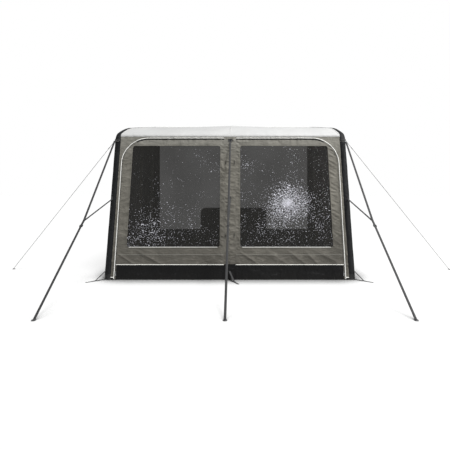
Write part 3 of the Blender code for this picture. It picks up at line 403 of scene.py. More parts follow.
def lay_floor():
    """A pale studio floor that the camera sees nearly white, with the awning's soft shadow on it: partly cast by the
    lamps, and mostly painted shade from ambient occlusion in its glow.
    """
    finish = bpy.data.materials.new("studio_floor")
    finish.use_nodes = True
    tree = finish.node_tree
    tree.nodes.clear()
    seen = add(tree, "ShaderNodeLightPath").outputs["Is Camera Ray"]
    matt = add(tree, "ShaderNodeBsdfDiffuse", {"Color": mixed(tree, seen, hex_colour("#B4B4B2"),
                                                              hex_colour("#F8F8F7"))})
    # Painted shadow: the glow that the camera sees is dimmed near the awning by ambient occlusion
    nearness = add(tree, "ShaderNodeAmbientOcclusion", {"Distance": 0.42}, samples=8)
    soft = add(tree, "ShaderNodeMapRange", {"Value": nearness.outputs["AO"], "From Min": 0.55, "From Max": 0.97},
               interpolation_type="SMOOTHSTEP")
    glow = add(tree, "ShaderNodeEmission", {"Color": (1, 1, 1, 1), "Strength": soft.outputs[0]})
    share = maths(tree, "MULTIPLY", seen, 0.80)
    mix = add(tree, "ShaderNodeMixShader", {0: share, 1: matt.outputs[0], 2: glow.outputs[0]})
    add(tree, "ShaderNodeOutputMaterial", {"Surface": mix.outputs[0]})
    half = 40
    mesh = bpy.data.meshes.new("studio_floor")
    mesh.from_pydata([(-half, -half, 0), (half, -half, 0), (half, half, 0), (-half, half, 0)], [],
                     [(0, 1, 2, 3)])
    mesh.materials.append(finish)
    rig.stage(placed("studio_floor", mesh, (0, 0, -0.0006)))


set_camera()
set_light()
lay_floor()


# Finishes

# Where painted glints gather on the film: place, reach in metres and how thickly
PAINTED_GLINTS = ((0.775, -1.10, 1.01, 0.50, 1.40), (-1.00, -1.14, 0.72, 0.72, 0.29), (0.50, -1.13, 0.66, 0.50, 0.22),
          (1.20, -1.13, 0.66, 0.35, 0.22), (0.24, -1.08, 1.50, 0.26, 0.34))
# Ways that puckers are drawn out: level folds, and slanting ones
LEVEL = (0.35, 0.35, 1.0)
SLANT = (1.0, 1.0, 0.55)


def start_finish(name):
    """A new finish with its tree, its shader, and its places in the object and on the cloth."""
    made = bpy.data.materials.new(name)
    made.use_nodes = True
    tree = made.node_tree
    spot = add(tree, "ShaderNodeTexCoord").outputs
    return made, tree, tree.nodes["Principled BSDF"], spot["Object"], spot["UV"]


def spread(tree, value, low, high, to_low=0.0, to_high=1.0):
    """A value mapped from one range to another and held inside it."""
    return add(tree, "ShaderNodeMapRange", {"Value": value, "From Min": low, "From Max": high,
                                            "To Min": to_low, "To Max": to_high}).outputs[0]


def axes(tree, place):
    """The parts of a place along its axes."""
    return add(tree, "ShaderNodeSeparateXYZ", {"Vector": place}).outputs


def blots(tree, place, scale, detail=3.0, distortion=0.0, stretch=None):
    """A noise pattern with so many blots in a metre, stretched along axes if asked."""
    if stretch:
        place = add(tree, "ShaderNodeMapping", {"Vector": place, "Scale": stretch}).outputs[0]
    return add(tree, "ShaderNodeTexNoise", {"Vector": place, "Scale": scale, "Detail": detail,
                                            "Distortion": distortion}).outputs["Fac"]


def waves(tree, value, spacing):
    """A wave from -1 to 1 with so many metres between its crests."""
    return maths(tree, "SINE", maths(tree, "MULTIPLY", value, 2 * math.pi / spacing))


def bumped(tree, shader, layers):
    """Bump from (height, strength, depth) layers, coarsest first."""
    below = {}
    for height, strength, depth in layers:
        bump = add(tree, "ShaderNodeBump", {"Height": height, "Strength": strength, "Distance": depth, **below})
        below = {"Normal": bump.outputs["Normal"]}
    feed(tree, shader, below)


def woven_finish(name, code, dust_code, roughness, spacing, sheen, crease, pucker=0.0, stretch=(1, 1, 1),
                 low_cloth_and_shade_code=None, painted_light_top_code=None, mottled=1.0):
    """Coated polyester cloth: matt threads, faint mottling from the coating, creases from its bag, puckers drawn out
    along one way with painted shade in their valleys and painted highlights on their crests, and dust near the ground.
    Where asked, painted light towards the top and painted shade down to the darker cloth below the panel seam. The
    weave is drawn three to six times coarser than life, so that it can show; the puckers are 40 to 90 mm apart."""
    made, tree, shader, place, flat = start_finish(name)
    mottle = spread(tree, blots(tree, place, 2.2, 4), 0.3, 0.7)
    fine = spread(tree, blots(tree, place, 90, 2), 0.35, 0.65)
    base = hex_colour(code)
    darker = tinted(base, 1 - 0.20 * mottled)
    colour = mixed(tree, mottle, darker, tinted(base, 1 + 0.10 * mottled))
    colour = mixed(tree, maths(tree, "MULTIPLY", fine, 0.25), colour, darker)
    height = axes(tree, place)[2]
    # Painted light: the cloth is drawn lighter towards the top, where more light falls
    if painted_light_top_code:
        colour = mixed(tree, spread(tree, height, 1.55, 1.86), colour, hex_colour(painted_light_top_code))
    if low_cloth_and_shade_code:
        # Darker cloth below the seam across the panel, and painted shade growing downwards into it from above
        below = spread(tree, height, PANEL_SEAM_Z + 0.005, PANEL_SEAM_Z - 0.002)
        colour = mixed(tree, below, colour, hex_colour(low_cloth_and_shade_code))
        shade = spread(tree, height, 1.1, 0.33, 0, 0.75)
        colour = mixed(tree, maths(tree, "MULTIPLY", shade, maths(tree, "SUBTRACT", 1.0, below)), colour,
                       hex_colour(low_cloth_and_shade_code))
    puckers = blots(tree, place, 21, 3, 0.7, stretch)
    if pucker:
        # Painted shade in the puckers' valleys and a painted highlight on their crests
        painted_valley_shade = spread(tree, puckers, 0.50, 0.34, 0, 0.34 * pucker)
        colour = mixed(tree, painted_valley_shade, colour, tinted(base, 0.55))
        painted_crest_highlight = spread(tree, puckers, 0.54, 0.70, 0, 0.22 * pucker)
        colour = mixed(tree, painted_crest_highlight, colour, tinted(base, 1.7, 0.006))
    dust = maths(tree, "MULTIPLY", spread(tree, height, 0.16, 0.0), blots(tree, place, 7, 5))
    colour = mixed(tree, maths(tree, "MULTIPLY", dust, 0.5), colour, hex_colour(dust_code))
    weave = maths(tree, "MULTIPLY", *(maths(tree, "ABSOLUTE", waves(tree, part, spacing))
                                      for part in axes(tree, flat)[:2]))
    feed(tree, shader, {"Base Color": mixed(tree, maths(tree, "MULTIPLY", weave, 0.12), colour, darker),
                        "Roughness": spread(tree, mottle, 0, 1, roughness - 0.05, roughness + 0.05),
                        "Specular IOR Level": 0.22, "Sheen Weight": sheen, "Sheen Roughness": 0.45})
    bumped(tree, shader, ((blots(tree, place, 5.5, 5, 1.4), crease, 0.02), (puckers, 0.6 * pucker, 0.016),
                          (blots(tree, place, 26, 3, 0.8), crease, 0.004), (weave, 0.35, 0.0006)))
    return made


def film_finish():
    """Smoked PVC window film: glossy and slightly wavy from rolling up. Glints are painted on it as short pale marks
    along creases, nearly white and nearly opaque, thickest round the places in PAINTED_GLINTS, thicker low down and
    sparse elsewhere, with a solid painted highlight where they are thickest. The creases are 3 to 4 mm wide."""
    made, tree, shader, place, _ = start_finish("smoked_pvc_film")
    warped = blots(tree, place, 30, 3, 1.6)
    loops = spread(tree, maths(tree, "ABSOLUTE", maths(tree, "SUBTRACT", warped, 0.5)), 0.014, 0.004)
    tilt = add(tree, "ShaderNodeMapping", {"Vector": place, "Rotation": (0.4, 0.7, 0.5),
                                           "Scale": (1.0, 1.0, 1.8)})
    cells = add(tree, "ShaderNodeTexVoronoi", {"Vector": tilt.outputs[0], "Scale": 26.0},
                feature="DISTANCE_TO_EDGE")
    line = maths(tree, "MAXIMUM", loops, spread(tree, cells.outputs["Distance"], 0.055, 0.022))
    density = spread(tree, blots(tree, place, 2.6, 3, 0.6), 0.45, 0.75, 0.0, 0.30)
    density = maths(tree, "ADD", density, spread(tree, axes(tree, place)[2], 1.15, 0.62, 0.0, 0.16))
    for x, y, z, reach, most in PAINTED_GLINTS:
        burst = add(tree, "ShaderNodeVectorMath", {0: place, 1: (x, y, z)}, operation="DISTANCE")
        near = maths(tree, "POWER", spread(tree, burst.outputs["Value"], reach, 0.0), 1.7)
        density = maths(tree, "ADD", density, maths(tree, "MULTIPLY", near, most))
    level = maths(tree, "SUBTRACT", 0.71, maths(tree, "MULTIPLY", density, 0.34))
    shown = maths(tree, "MULTIPLY", maths(tree, "SUBTRACT", blots(tree, place, 75, 2), level), 24.0)
    shown = add(tree, "ShaderNodeClamp", {"Value": shown}).outputs[0]
    # Painted highlight: the glint marks, and a solid white core where they are thickest, drawn in the base colour
    painted_glint = maths(tree, "MAXIMUM", maths(tree, "MULTIPLY", line, shown), spread(tree, density, 1.12, 1.62))
    haze = spread(tree, blots(tree, place, 2.0, 3), 0.3, 0.7, 0.0, 0.04)
    feed(tree, shader, {"Base Color": mixed(tree, painted_glint, hex_colour("#262523"), hex_colour("#F2F2FC")),
                        "Alpha": maths(tree, "ADD", spread(tree, painted_glint, 0, 1, 0.76, 0.96), haze),
                        "Roughness": 0.10, "Specular IOR Level": 0.3})
    bumped(tree, shader, ((blots(tree, place, 3.0, 2, 0.3), 0.35, 0.01), (line, 0.5, 0.0015)))
    return made


def webbing_finish():
    """Woven polypropylene webbing: a twill of shiny threads, darker at its bound edges. UV runs across the
    strap and along it; the twill is drawn at 3 mm, about twice life."""
    made, tree, shader, place, flat = start_finish("black_polypropylene_webbing")
    across, along, _ = axes(tree, flat)
    slant = maths(tree, "ADD", along, maths(tree, "MULTIPLY", maths(tree, "PINGPONG", across, 0.00625), 1.0))
    twill = spread(tree, waves(tree, slant, 0.003), -1, 1)
    edge = spread(tree, maths(tree, "ABSOLUTE", across), 0.0095, 0.0115)
    wear = spread(tree, blots(tree, place, 14, 4), 0.4, 0.7)
    base = hex_colour("#2B2B2C")
    colour = mixed(tree, twill, tinted(base, 0.6), base)
    colour = mixed(tree, maths(tree, "MULTIPLY", wear, 0.25), colour, tinted(base, 1.5))
    feed(tree, shader, {"Base Color": mixed(tree, edge, colour, hex_colour("#131314")), "Roughness": 0.72,
                        "Sheen Weight": 0.15})
    bumped(tree, shader, ((twill, 0.6, 0.0005),))
    return made


def solid_finish(name, code, roughness, metallic=0.0, grain=220, depth=0.0002, variety=0.12, coat=0.0):
    """A moulded, coated or plated solid: a plain colour with slight mottling, handling marks and a fine
    grain in the gloss."""
    made, tree, shader, place, _ = start_finish(name)
    base = hex_colour(code)
    worn = spread(tree, blots(tree, place, 18, 4), 0.35, 0.7)
    colour = mixed(tree, maths(tree, "MULTIPLY", worn, variety), base, tinted(base, 1.6, 0.02))
    feed(tree, shader, {"Base Color": colour, "Metallic": metallic, "Coat Weight": coat,
                        "Roughness": spread(tree, worn, 0, 1, roughness, min(1, roughness + 0.12))})
    bumped(tree, shader, ((blots(tree, place, grain, 3), 0.4, depth),))
    return made


def rope_finish():
    """Braided polyester cord, dark with a pale fleck. The plait is drawn at 6 mm, about twice life."""
    made, tree, shader, place, _ = start_finish("braided_guy_cord")
    x, _, z = axes(tree, place)
    plait = waves(tree, maths(tree, "ADD", x, z), 0.006)
    colour = mixed(tree, spread(tree, plait, 0.75, 0.95, 0, 0.5), hex_colour("#0E0E0F"), hex_colour("#2E2E30"))
    feed(tree, shader, {"Base Color": colour, "Roughness": 0.75})
    bumped(tree, shader, ((plait, 0.5, 0.0004),))
    return made


# The grey cloth takes painted light near its top and painted shade lower down, over its darker cloth below the seam
GREY = woven_finish("grey_oxford_polyester", "#75726A", "#6E695E", 0.82, 0.0022, 0.04, 0.55, 1.0, LEVEL,
                    "#58554F", "#84827B")
ROOF = woven_finish("white_coated_roof_polyester", "#C4C4C3", "#C8C4BA", 0.62, 0.0024, 0.02, 0.30,
                    mottled=0.35)
SIDE = woven_finish("grey_side_polyester", "#86847D", "#6E695E", 0.82, 0.0022, 0.04, 0.45, 0.6, LEVEL)
BLACK = woven_finish("black_pvc_mud_skirt", "#0F0F10", "#24221F", 0.40, 0.0030, 0.01, 0.85, 1.0, SLANT)
SLEEVE = woven_finish("black_ripstop_sleeve", "#18191B", "#2C2A26", 0.60, 0.0026, 0.02, 0.55, 0.8, SLANT)
SKIN = woven_finish("grey_beam_cover", "#35373A", "#34312B", 0.60, 0.0026, 0.02, 0.30)
HEM = woven_finish("pale_binding_tape", "#CFCDC6", "#B8B1A2", 0.70, 0.0016, 0.02, 0.10)
FOAM = woven_finish("black_pad_cover", "#1E1E1F", "#34312B", 0.85, 0.0026, 0.04, 0.35)
FILM = film_finish()
WEB = webbing_finish()
ROPE = rope_finish()
PIPING = solid_finish("white_pvc_piping", "#F2F1EC", 0.42, variety=0.1)
TEETH = solid_finish("dark_nylon_coil", "#161617", 0.35)
THREAD = solid_finish("polyester_thread", "#4A4945", 0.6)
PALE_THREAD = solid_finish("pale_polyester_thread", "#C9C7C0", 0.6)
PLASTIC = solid_finish("black_acetal_moulding", "#141415", 0.38, coat=0.15)
STEEL = solid_finish("zinc_plated_steel", "#BFC0C2", 0.26, 1.0, grain=400, depth=0.0001, variety=0.05)
RING = solid_finish("weathered_zinc_ring", "#6A6A6C", 0.34, 1.0, grain=400, depth=0.0001, variety=0.10)
BRASS = solid_finish("nickel_eyelet", "#A8A69E", 0.32, 1.0, grain=400, depth=0.0001, variety=0.05)


# Side view of the canopy, as in the solids

def outward(pitch):
    """The outward direction of a surface that climbs towards the rear at the pitch."""
    return Vector((0, -math.sin(pitch), math.cos(pitch)))


ROOF_CENTRE = (Vector((0, REAR_Y - ROOF_FLAT_DEPTH, RAIL_HEIGHT - ROOF_FLAT_DEPTH * math.tan(ROOF_PITCH)))
               - ROOF_ARC_RADIUS * outward(ROOF_PITCH))


def steps(first, last, count):
    """Values from first to last, both counted."""
    return [first + (last - first) * i / count for i in range(count + 1)]


def side_path(inset, bend, low, rear, step):
    """Stations (point, pitch) about a step apart: up the front, over the eave and on to the rear."""
    out = outward(WALL_PITCH)
    foot = Vector((0, FRONT_Y, 0)) - inset * out
    reach = ROOF_ARC_RADIUS - inset - bend
    start = foot - bend * out - ROOF_CENTRE
    dot = start.dot(UP_WALL)
    along = -dot + math.sqrt(dot * dot - start.length_squared + reach * reach)
    to_bend = start + along * UP_WALL
    bend_centre = ROOF_CENTRE + to_bend
    eave_pitch = math.atan2(-to_bend.y, to_bend.z)

    def pieces(length, least):
        return max(least, math.ceil(length / step))
    first = foot + (low - foot.z) / UP_WALL.z * UP_WALL
    top = bend_centre + bend * out
    stations = [(first.lerp(top, share), WALL_PITCH) for share in steps(0, 1, pieces((top - first).length, 1))]
    for pitch in steps(WALL_PITCH, eave_pitch, pieces(bend * (WALL_PITCH - eave_pitch), 8))[1:]:
        stations.append((bend_centre + bend * outward(pitch), pitch))
    arc = (ROOF_ARC_RADIUS - inset) * (eave_pitch - ROOF_PITCH)
    for pitch in steps(eave_pitch, ROOF_PITCH, pieces(arc, 8))[1:]:
        stations.append((ROOF_CENTRE + (ROOF_ARC_RADIUS - inset) * outward(pitch), pitch))
    last = stations[-1][0]
    for y in steps(last.y, rear, pieces(rear - last.y, 4))[1:]:
        run = y - last.y
        stations.append((last + Vector((0, run, run * math.tan(ROOF_PITCH))), ROOF_PITCH))
    return stations


COARSE = 0.05
SEAM_Z = [s for s in side_path(0, EAVE_RADIUS, 0, REAR_Y, 9) if s[1] == WALL_PITCH][-1][0].z - SEAM_DROP
BEND_Z = [s for s in side_path(SLEEVE_INSET, BEAM_BEND, 0, REAR_Y, 9) if s[1] == WALL_PITCH][-1][0].z
CORNER_TAPER = (BASE_HALF_WIDTH - EAVE_HALF_WIDTH) / BEND_Z
CENTRE_INSET = CLOTH + GAP + SLEEVE_WALL + GAP + CENTRE_RADIUS
BEAM_RADIUS = SLEEVE_RADIUS - SLEEVE_WALL - GAP
EDGE_OFFSET = math.sqrt(SLEEVE_RADIUS ** 2 - (SLEEVE_INSET - CLOTH) ** 2) + JOIN_GAP
SIDE_INSET = SLEEVE_INSET + SLEEVE_RADIUS + JOIN_GAP
PAD_FRONT_Y = REAR_Y - PAD_THICKNESS
HINGE_X = STRIP_HALF_WIDTH + GAP


def front_y(height):
    """Where the front wall's face stands at a height."""
    return FRONT_Y + height * math.tan(FRONT_LEAN)


def corner_x(height):
    """How far the corner beam's centre line stands from the middle at a height."""
    return BASE_HALF_WIDTH - CORNER_TAPER * min(height, BEND_Z)


def side_x(height):
    """How far the side wall's face stands from the middle at a height."""
    return BASE_HALF_WIDTH + SIDE_STANDOFF - CORNER_TAPER * height


def zip_x(height):
    """How far the front zip's upright run stands from the middle at a height."""
    return ZIP_BASE_HALF_WIDTH - (ZIP_BASE_HALF_WIDTH - ZIP_TOP_HALF_WIDTH) * height / ZIP_HEIGHT


def ridge(y):
    """How far the middle beam lifts the roof at a place between the eave and the rear edge."""
    eave_y = front_y(SEAM_Z)
    share = min(1, max(0, (y - eave_y) / (RIDGE_END_Y - eave_y)))
    return RIDGE_RISE * math.sin(math.pi * share)


def leg_centre(side, height, inset):
    """The centre line of a beam's leg at a height."""
    return Vector((side * corner_x(height), front_y(height) + inset / math.cos(FRONT_LEAN), height))


# Folds and slack
#
# A fold's height is in metres. The numbers beside x, y and z say about how many folds lie in a metre, and
# the last number of a place tells one pattern from the next.

def ripple(*place):
    """Smooth noise about zero at a place."""
    return noise.noise(Vector(place))


def creased(*place):
    """Sharp-topped folds at a place, from 0 to 1."""
    return (1 - min(1, abs(ripple(*place)) * 2.6)) ** 2


def faded(distance, reach):
    """1 at a seam, falling off to 0 over about the reach."""
    return math.exp(-abs(distance) / reach)


def smooth_share(value, low, high):
    """0 at the low value, 1 at the high one, eased between."""
    share = min(1, max(0, (value - low) / (high - low)))
    return share * share * (3 - 2 * share)


def zip_track(across, height):
    """(distance inside the front zip's line, length along it) at a place on the front wall."""
    straight = ZIP_HEIGHT - ZIP_CORNER_RADIUS
    pivot = Vector((zip_x(straight) - ZIP_CORNER_RADIUS, straight))
    if across > pivot.x and height > pivot.y:
        out = Vector((across, height)) - pivot
        return ZIP_CORNER_RADIUS - out.length, pivot.y + ZIP_CORNER_RADIUS * math.atan2(out.y, out.x)
    if zip_x(height) - across < ZIP_HEIGHT - height:
        return zip_x(height) - across, height
    return ZIP_HEIGHT - height, pivot.y + ZIP_CORNER_RADIUS * math.pi / 2 + pivot.x - across


def window_distance(across, height):
    """How far outside the front window's opening a place lies; negative inside."""
    share = (height - WINDOW_SILL) / (WINDOW_HEAD - WINDOW_SILL)
    outer = WINDOW_BASE_X + (WINDOW_TOP_X - WINDOW_BASE_X) * share
    beside = max(WINDOW_INNER_X - across, across - outer)
    return max(beside, WINDOW_SILL - height, height - WINDOW_HEAD)


def front_slack(x, z):
    """How far the front's cloth stands out from the plane wall, in metres."""
    across, half = abs(x), 3.7 * (x > 0)
    inside, along = zip_track(across, z)
    opening = window_distance(across, z)
    amount = 0.0045 * ripple(x * 1.6, z * 1.4, 3.1) + 0.0020 * ripple(x * 4.1, z * 3.3, 7.7)
    amount += 0.0052 * faded(inside, 0.045) * ripple(along * 34, inside * 5, 1.3 + half)
    if z > ZIP_HEIGHT - 0.02:
        amount += 0.0050 * (creased(x * 9.5, z * 3, 5.2) - 0.3) * faded(z - ZIP_HEIGHT - 0.02, 0.05)
    if opening > 0:
        if WINDOW_SILL < z < WINDOW_HEAD:
            lean = 5 * (across - WINDOW_INNER_X) * (1 if across > 1 else -1)
            amount += 0.0110 * ripple(across * 7, z * 31 + 3 * lean, 2.4 + half) * faded(opening - 0.02, 0.09)
            amount += 0.0030 * (creased(across * 2.5, z * 10 + lean, 8.8 + half) - 0.3)
        elif z >= WINDOW_HEAD:
            amount += 0.0038 * ripple(x * 15, z * 7, 4.6)
    if z < WINDOW_SILL + 0.02 and across > STRIP_HALF_WIDTH:
        slide = across * (0.62 if x < 0 else -0.70) - z
        band = math.sin(math.pi * min(1, max(0, (z - SKIRT_HEIGHT + 0.03) / (WINDOW_SILL - SKIRT_HEIGHT))))
        amount += 0.0120 * (creased(slide * 5.0, across * 0.8, 6.1 + half) - 0.3) * band
        amount += 0.0034 * ripple(across * 22, z * 4, 9.3) * faded(z - SKIRT_HEIGHT, 0.03)
    if z < SKIRT_HEIGHT:
        drop = (SKIRT_HEIGHT - z) / SKIRT_HEIGHT
        amount += 0.0055 * drop * ripple(x * 5.5, z * 5, 11.2) + 0.0030 * ripple(x * 2.2, z * 26, 12.9)
        amount += 0.0060 * (creased(across * 3.0 + z * 5, z * 3.2 - across, 14.4 + half) - 0.25) * min(1, 2 * drop)
    if across < STRIP_HALF_WIDTH + 0.05 and z < ZIP_HEIGHT:
        amount += 0.0090 * ripple(across * 9, z * 40, 13.7 + half)
    calm = smooth_share(abs(across - HINGE_X), 0.002, 0.030)
    if z < ZIP_HEIGHT - ZIP_CORNER_RADIUS + 0.03:
        calm *= smooth_share(abs(inside + ZIP_GAP / 2), 0.018, 0.042)
    return max(-0.0045, min(0.010, amount)) * calm


def film_slack(x, z):
    """The front film follows the cloth round it and bellies a little between its hems."""
    inside = max(0.0, -window_distance(abs(x), z))
    belly = min(1, inside / 0.25)
    return front_slack(x, z) + belly * (0.0040 * ripple(x * 2.3, z * 2.9, 21.4)
                                        + 0.0016 * (creased(x * 5.1, z * 4.3, 22.8) - 0.3))


def side_slack(side):
    """The side wall's slack as a function of (y, z)."""
    def slack(y, z):
        amount = 0.0050 * ripple(y * 1.7, z * 1.5, 31.3 + side) + 0.0020 * ripple(y * 5, z * 4, 33.1)
        amount += 0.0022 * (creased(y * 2.0 + z, z * 7.5, 35.7 + side) - 0.3)
        if z < SKIRT_HEIGHT:
            amount += 0.0040 * (SKIRT_HEIGHT - z) / SKIRT_HEIGHT * ripple(y * 6, z * 5, 36.2)
        amount += 0.0050 * ripple(y * 8, z * 30, 37.5 + side) * faded(y - door_front(z) - 0.04, 0.06)
        return min(amount, 0.0055) * smooth_share(abs(y - door_front(z)), 0.002, 0.030)
    return slack


# Makers of meshes

def shell(points, faces, places=None, angle=50, mend=True):
    """A smooth mesh that faces outwards, with a UV map in metres from a flat place for each point."""
    mesh = bpy.data.meshes.new("piece")
    mesh.from_pydata(points, [], faces)
    if mend:
        builder = bmesh.new()
        builder.from_mesh(mesh)
        bmesh.ops.recalc_face_normals(builder, faces=builder.faces[:])
        builder.to_mesh(mesh)
        builder.free()
    mesh.shade_smooth()
    mesh.set_sharp_from_angle(angle=math.radians(angle))
    if places is not None:
        layer = mesh.uv_layers.new(name="cloth")
        ends = np.zeros(len(mesh.loops), int)
        mesh.loops.foreach_get("vertex_index", ends)
        layer.data.foreach_set("uv", np.asarray(places, float)[ends].ravel())
    return mesh


def lofted(first, rows, size, around=False):
    """Faces through rows of points, the last row running on into the first, or both capped."""
    faces = []
    for r in range(rows if around else rows - 1):
        low, high = first + r * size, first + (r + 1) % rows * size
        faces += [(low + k, low + (k + 1) % size, high + (k + 1) % size, high + k) for k in range(size)]
    if not around:
        last = first + (rows - 1) * size
        faces += [tuple(range(first, first + size))[::-1], tuple(range(last, last + size))]
    return faces


def ring(centre, first, second, sides):
    """A ring of points round a centre, from its two half-widths as vectors."""
    return [centre + math.cos(2 * math.pi * k / sides) * first + math.sin(2 * math.pi * k / sides) * second
            for k in range(sides)]


def ring_mesh(rings, around=False, places=None, angle=60):
    """A mesh through rings: capped, or run on into the first ring."""
    return shell([p for each in rings for p in each], lofted(0, len(rings), len(rings[0]), around), places, angle)


def turned_mesh(base, axis, profile, sides, around=False, angle=35):
    """A turned mesh from (radius, height) pairs along an axis."""
    first = axis.orthogonal().normalized()
    second = axis.cross(first)
    return ring_mesh([ring(base + height * axis, radius * first, radius * second, sides)
                      for radius, height in profile], around, angle=angle)


def drawn_mesh(runs, section, closed=False):
    """A section of (across, out) points drawn along each run of (path, outs), with UV across and along."""
    points, faces, places = [], [], []
    for path, outs in runs:
        faces += lofted(len(points), len(path), len(section), closed)
        travelled, last = 0.0, len(path) - 1
        for i, point in enumerate(path):
            before = path[i - 1] if closed or i else point
            after = path[(i + 1) % len(path)] if closed or i < last else point
            along = (after - before).normalized()
            out = outs[i] if isinstance(outs, list) else outs
            out = (out - out.dot(along) * along).normalized()
            across = along.cross(out)
            travelled += (point - path[i - 1]).length if i else 0
            points += [point + u * across + v * out for u, v in section]
            places += [(u, travelled) for u, _ in section]
    return shell(points, faces, places)


def round_section(radius, sides=10, flat=1.0):
    """A round section, or an oval one."""
    return [(p.x, p.y) for p in ring(Vector((0, 0)), Vector((radius, 0)), Vector((0, radius * flat)), sides)]


def strap_section(width, thickness, lift=0.0):
    """A flat section with soft edges, from lift upwards."""
    edge = min(thickness / 2, width / 4)
    half, middle, top, rim = width / 2, lift + thickness / 2, lift + thickness, thickness * 0.15
    return [(-half, middle - rim), (-half + edge, lift), (half - edge, lift), (half, middle - rim),
            (half, middle + rim), (half - edge, top), (0, top + thickness * 0.04), (-half + edge, top),
            (-half, middle + rim)]


def joined_mesh(meshes):
    """Several meshes as one, with their UV maps."""
    builder = bmesh.new()
    for mesh in meshes:
        builder.from_mesh(mesh)
        bpy.data.meshes.remove(mesh)
    mesh = bpy.data.meshes.new("piece")
    builder.to_mesh(mesh)
    builder.free()
    return mesh


def block_mesh(place, low, high, edge):
    """A block laid by place(u, v, w), its edges rounded off."""
    builder = bmesh.new()
    corners = [builder.verts.new(place(u, v, w)) for w in (low[2], high[2])
               for u, v in ((low[0], low[1]), (high[0], low[1]), (high[0], high[1]), (low[0], high[1]))]
    builder.faces.new(corners[:4])
    builder.faces.new(corners[4:])
    for i in range(4):
        builder.faces.new((corners[i], corners[(i + 1) % 4], corners[4 + (i + 1) % 4], corners[4 + i]))
    bmesh.ops.bevel(builder, geom=builder.edges[:], offset=edge, segments=2, affect="EDGES", profile=0.5,
                    clamp_overlap=True)
    bmesh.ops.recalc_face_normals(builder, faces=builder.faces[:])
    mesh = bpy.data.meshes.new("piece")
    builder.to_mesh(mesh)
    builder.free()
    mesh.shade_smooth()
    mesh.set_sharp_from_angle(angle=math.radians(50))
    return mesh


def finished(name, shape, body, finish, slot, stands_for=None):
    """The mesh or curve as a piece of the object, riding on its body."""
    shape.name = name
    shape.materials.clear()
    shape.materials.append(finish)
    piece = placed(name, shape)
    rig.ride(piece, body)
    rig.slot(piece, slot)
    if stands_for:
        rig.replaces(piece, stands_for)
    return piece


def trim(name, body, finish, slot, runs, section, closed=False):
    """A tape, hem, welt or piping drawn along its runs."""
    return finished(name, drawn_mesh(runs, section, closed), body, finish, slot)


def bar_tree():
    """Geometry nodes that set small bars along a path's edges, a pitch apart."""
    tree = bpy.data.node_groups.new("bars_along_a_path", "GeometryNodeTree")
    for name, kind in (("Path", "Geometry"), ("Pitch", "Float"), ("Size", "Vector"), ("Out", "Vector"),
                       ("Finish", "Material")):
        tree.interface.new_socket(name=name, in_out="INPUT", socket_type=f"NodeSocket{kind}")
    tree.interface.new_socket(name="Bars", in_out="OUTPUT", socket_type="NodeSocketGeometry")
    given = add(tree, "NodeGroupInput").outputs
    line = add(tree, "GeometryNodeMeshToCurve", {"Mesh": given["Path"]})
    even = add(tree, "GeometryNodeResampleCurve", {"Curve": line.outputs[0], "Length": given["Pitch"]},
               mode="LENGTH")
    tangent = add(tree, "GeometryNodeInputTangent")
    along = add(tree, "FunctionNodeAlignRotationToVector", {"Vector": tangent.outputs[0]}, axis="X")
    facing = add(tree, "FunctionNodeAlignRotationToVector",
                 {"Rotation": along.outputs[0], "Vector": given["Out"]}, axis="Z", pivot_axis="X")
    bar = add(tree, "GeometryNodeMeshCube", {"Size": given["Size"]})
    bars = add(tree, "GeometryNodeInstanceOnPoints",
               {"Points": even.outputs[0], "Instance": bar.outputs[0], "Rotation": facing.outputs[0]})
    real = add(tree, "GeometryNodeRealizeInstances", {"Geometry": bars.outputs[0]})
    painted = add(tree, "GeometryNodeSetMaterial", {"Geometry": real.outputs[0], "Material": given["Finish"]})
    add(tree, "NodeGroupOutput", {0: painted.outputs[0]})
    return tree


BARS = bar_tree()
# A bar's pitch, length, width and height, in metres
STITCH = (0.0065, 0.0042, 0.0009, 0.0008)
SEAM_STITCH = (0.0065, 0.0042, 0.0008, 0.0007)
ZIP_STITCH = (0.0065, 0.0042, 0.0008, 0.0006)
EAVE_STITCH = (0.0065, 0.0042, 0.0009, 0.0007)
LONG_STITCH = (0.0080, 0.0050, 0.0009, 0.0007)
PAD_STITCH = (0.0080, 0.0050, 0.0009, 0.0012)
STRAP_STITCH = (0.0032, 0.0026, 0.0008, 0.0007)
PATCH_STITCH = (0.0045, 0.0032, 0.0008, 0.0007)
TOOTH = (0.0048, 0.0026, 0.0034, 0.0024)


def bars_along(name, body, finish, slot, runs, out, kind=STITCH):
    """Stitches or zip teeth: small bars along each run of points."""
    points, edges = [], []
    for run in runs:
        edges += [(len(points) + i, len(points) + i + 1) for i in range(len(run) - 1)]
        points += run
    guide = bpy.data.meshes.new("guide")
    guide.from_pydata(points, edges, [])
    maker = placed("guide", guide)
    modifier = maker.modifiers.new("bars", "NODES")
    modifier.node_group = BARS
    wanted = {"Pitch": kind[0], "Size": kind[1:], "Out": tuple(out), "Finish": finish}
    for socket in BARS.interface.items_tree:
        if socket.in_out == "INPUT" and socket.name in wanted:
            modifier[socket.identifier] = wanted[socket.name]
    graph = bpy.context.evaluated_depsgraph_get()
    mesh = bpy.data.meshes.new_from_object(maker.evaluated_get(graph), depsgraph=graph)
    bpy.data.objects.remove(maker, do_unlink=True)
    bpy.data.meshes.remove(guide)
    finished(name, mesh, body, finish, slot)


# Cutting and sewing

def corner(x, y, radius=0):
    """One corner of an outline and its radius."""
    return Vector((x, y)), radius


def oblong(x, y, far_x, far_y):
    """A rectangle's outline."""
    return [Vector((x, y)), Vector((far_x, y)), Vector((far_x, far_y)), Vector((x, far_y))]


def resampled(points, step, closed=True):
    """A loop or run with points at most a step apart."""
    route = []
    for a, b in zip(points, points[1:] + points[:1] if closed else points[1:]):
        count = max(1, math.ceil((b - a).length / step))
        route += [a.lerp(b, k / count) for k in range(count)]
    return route if closed else route + [points[-1]]


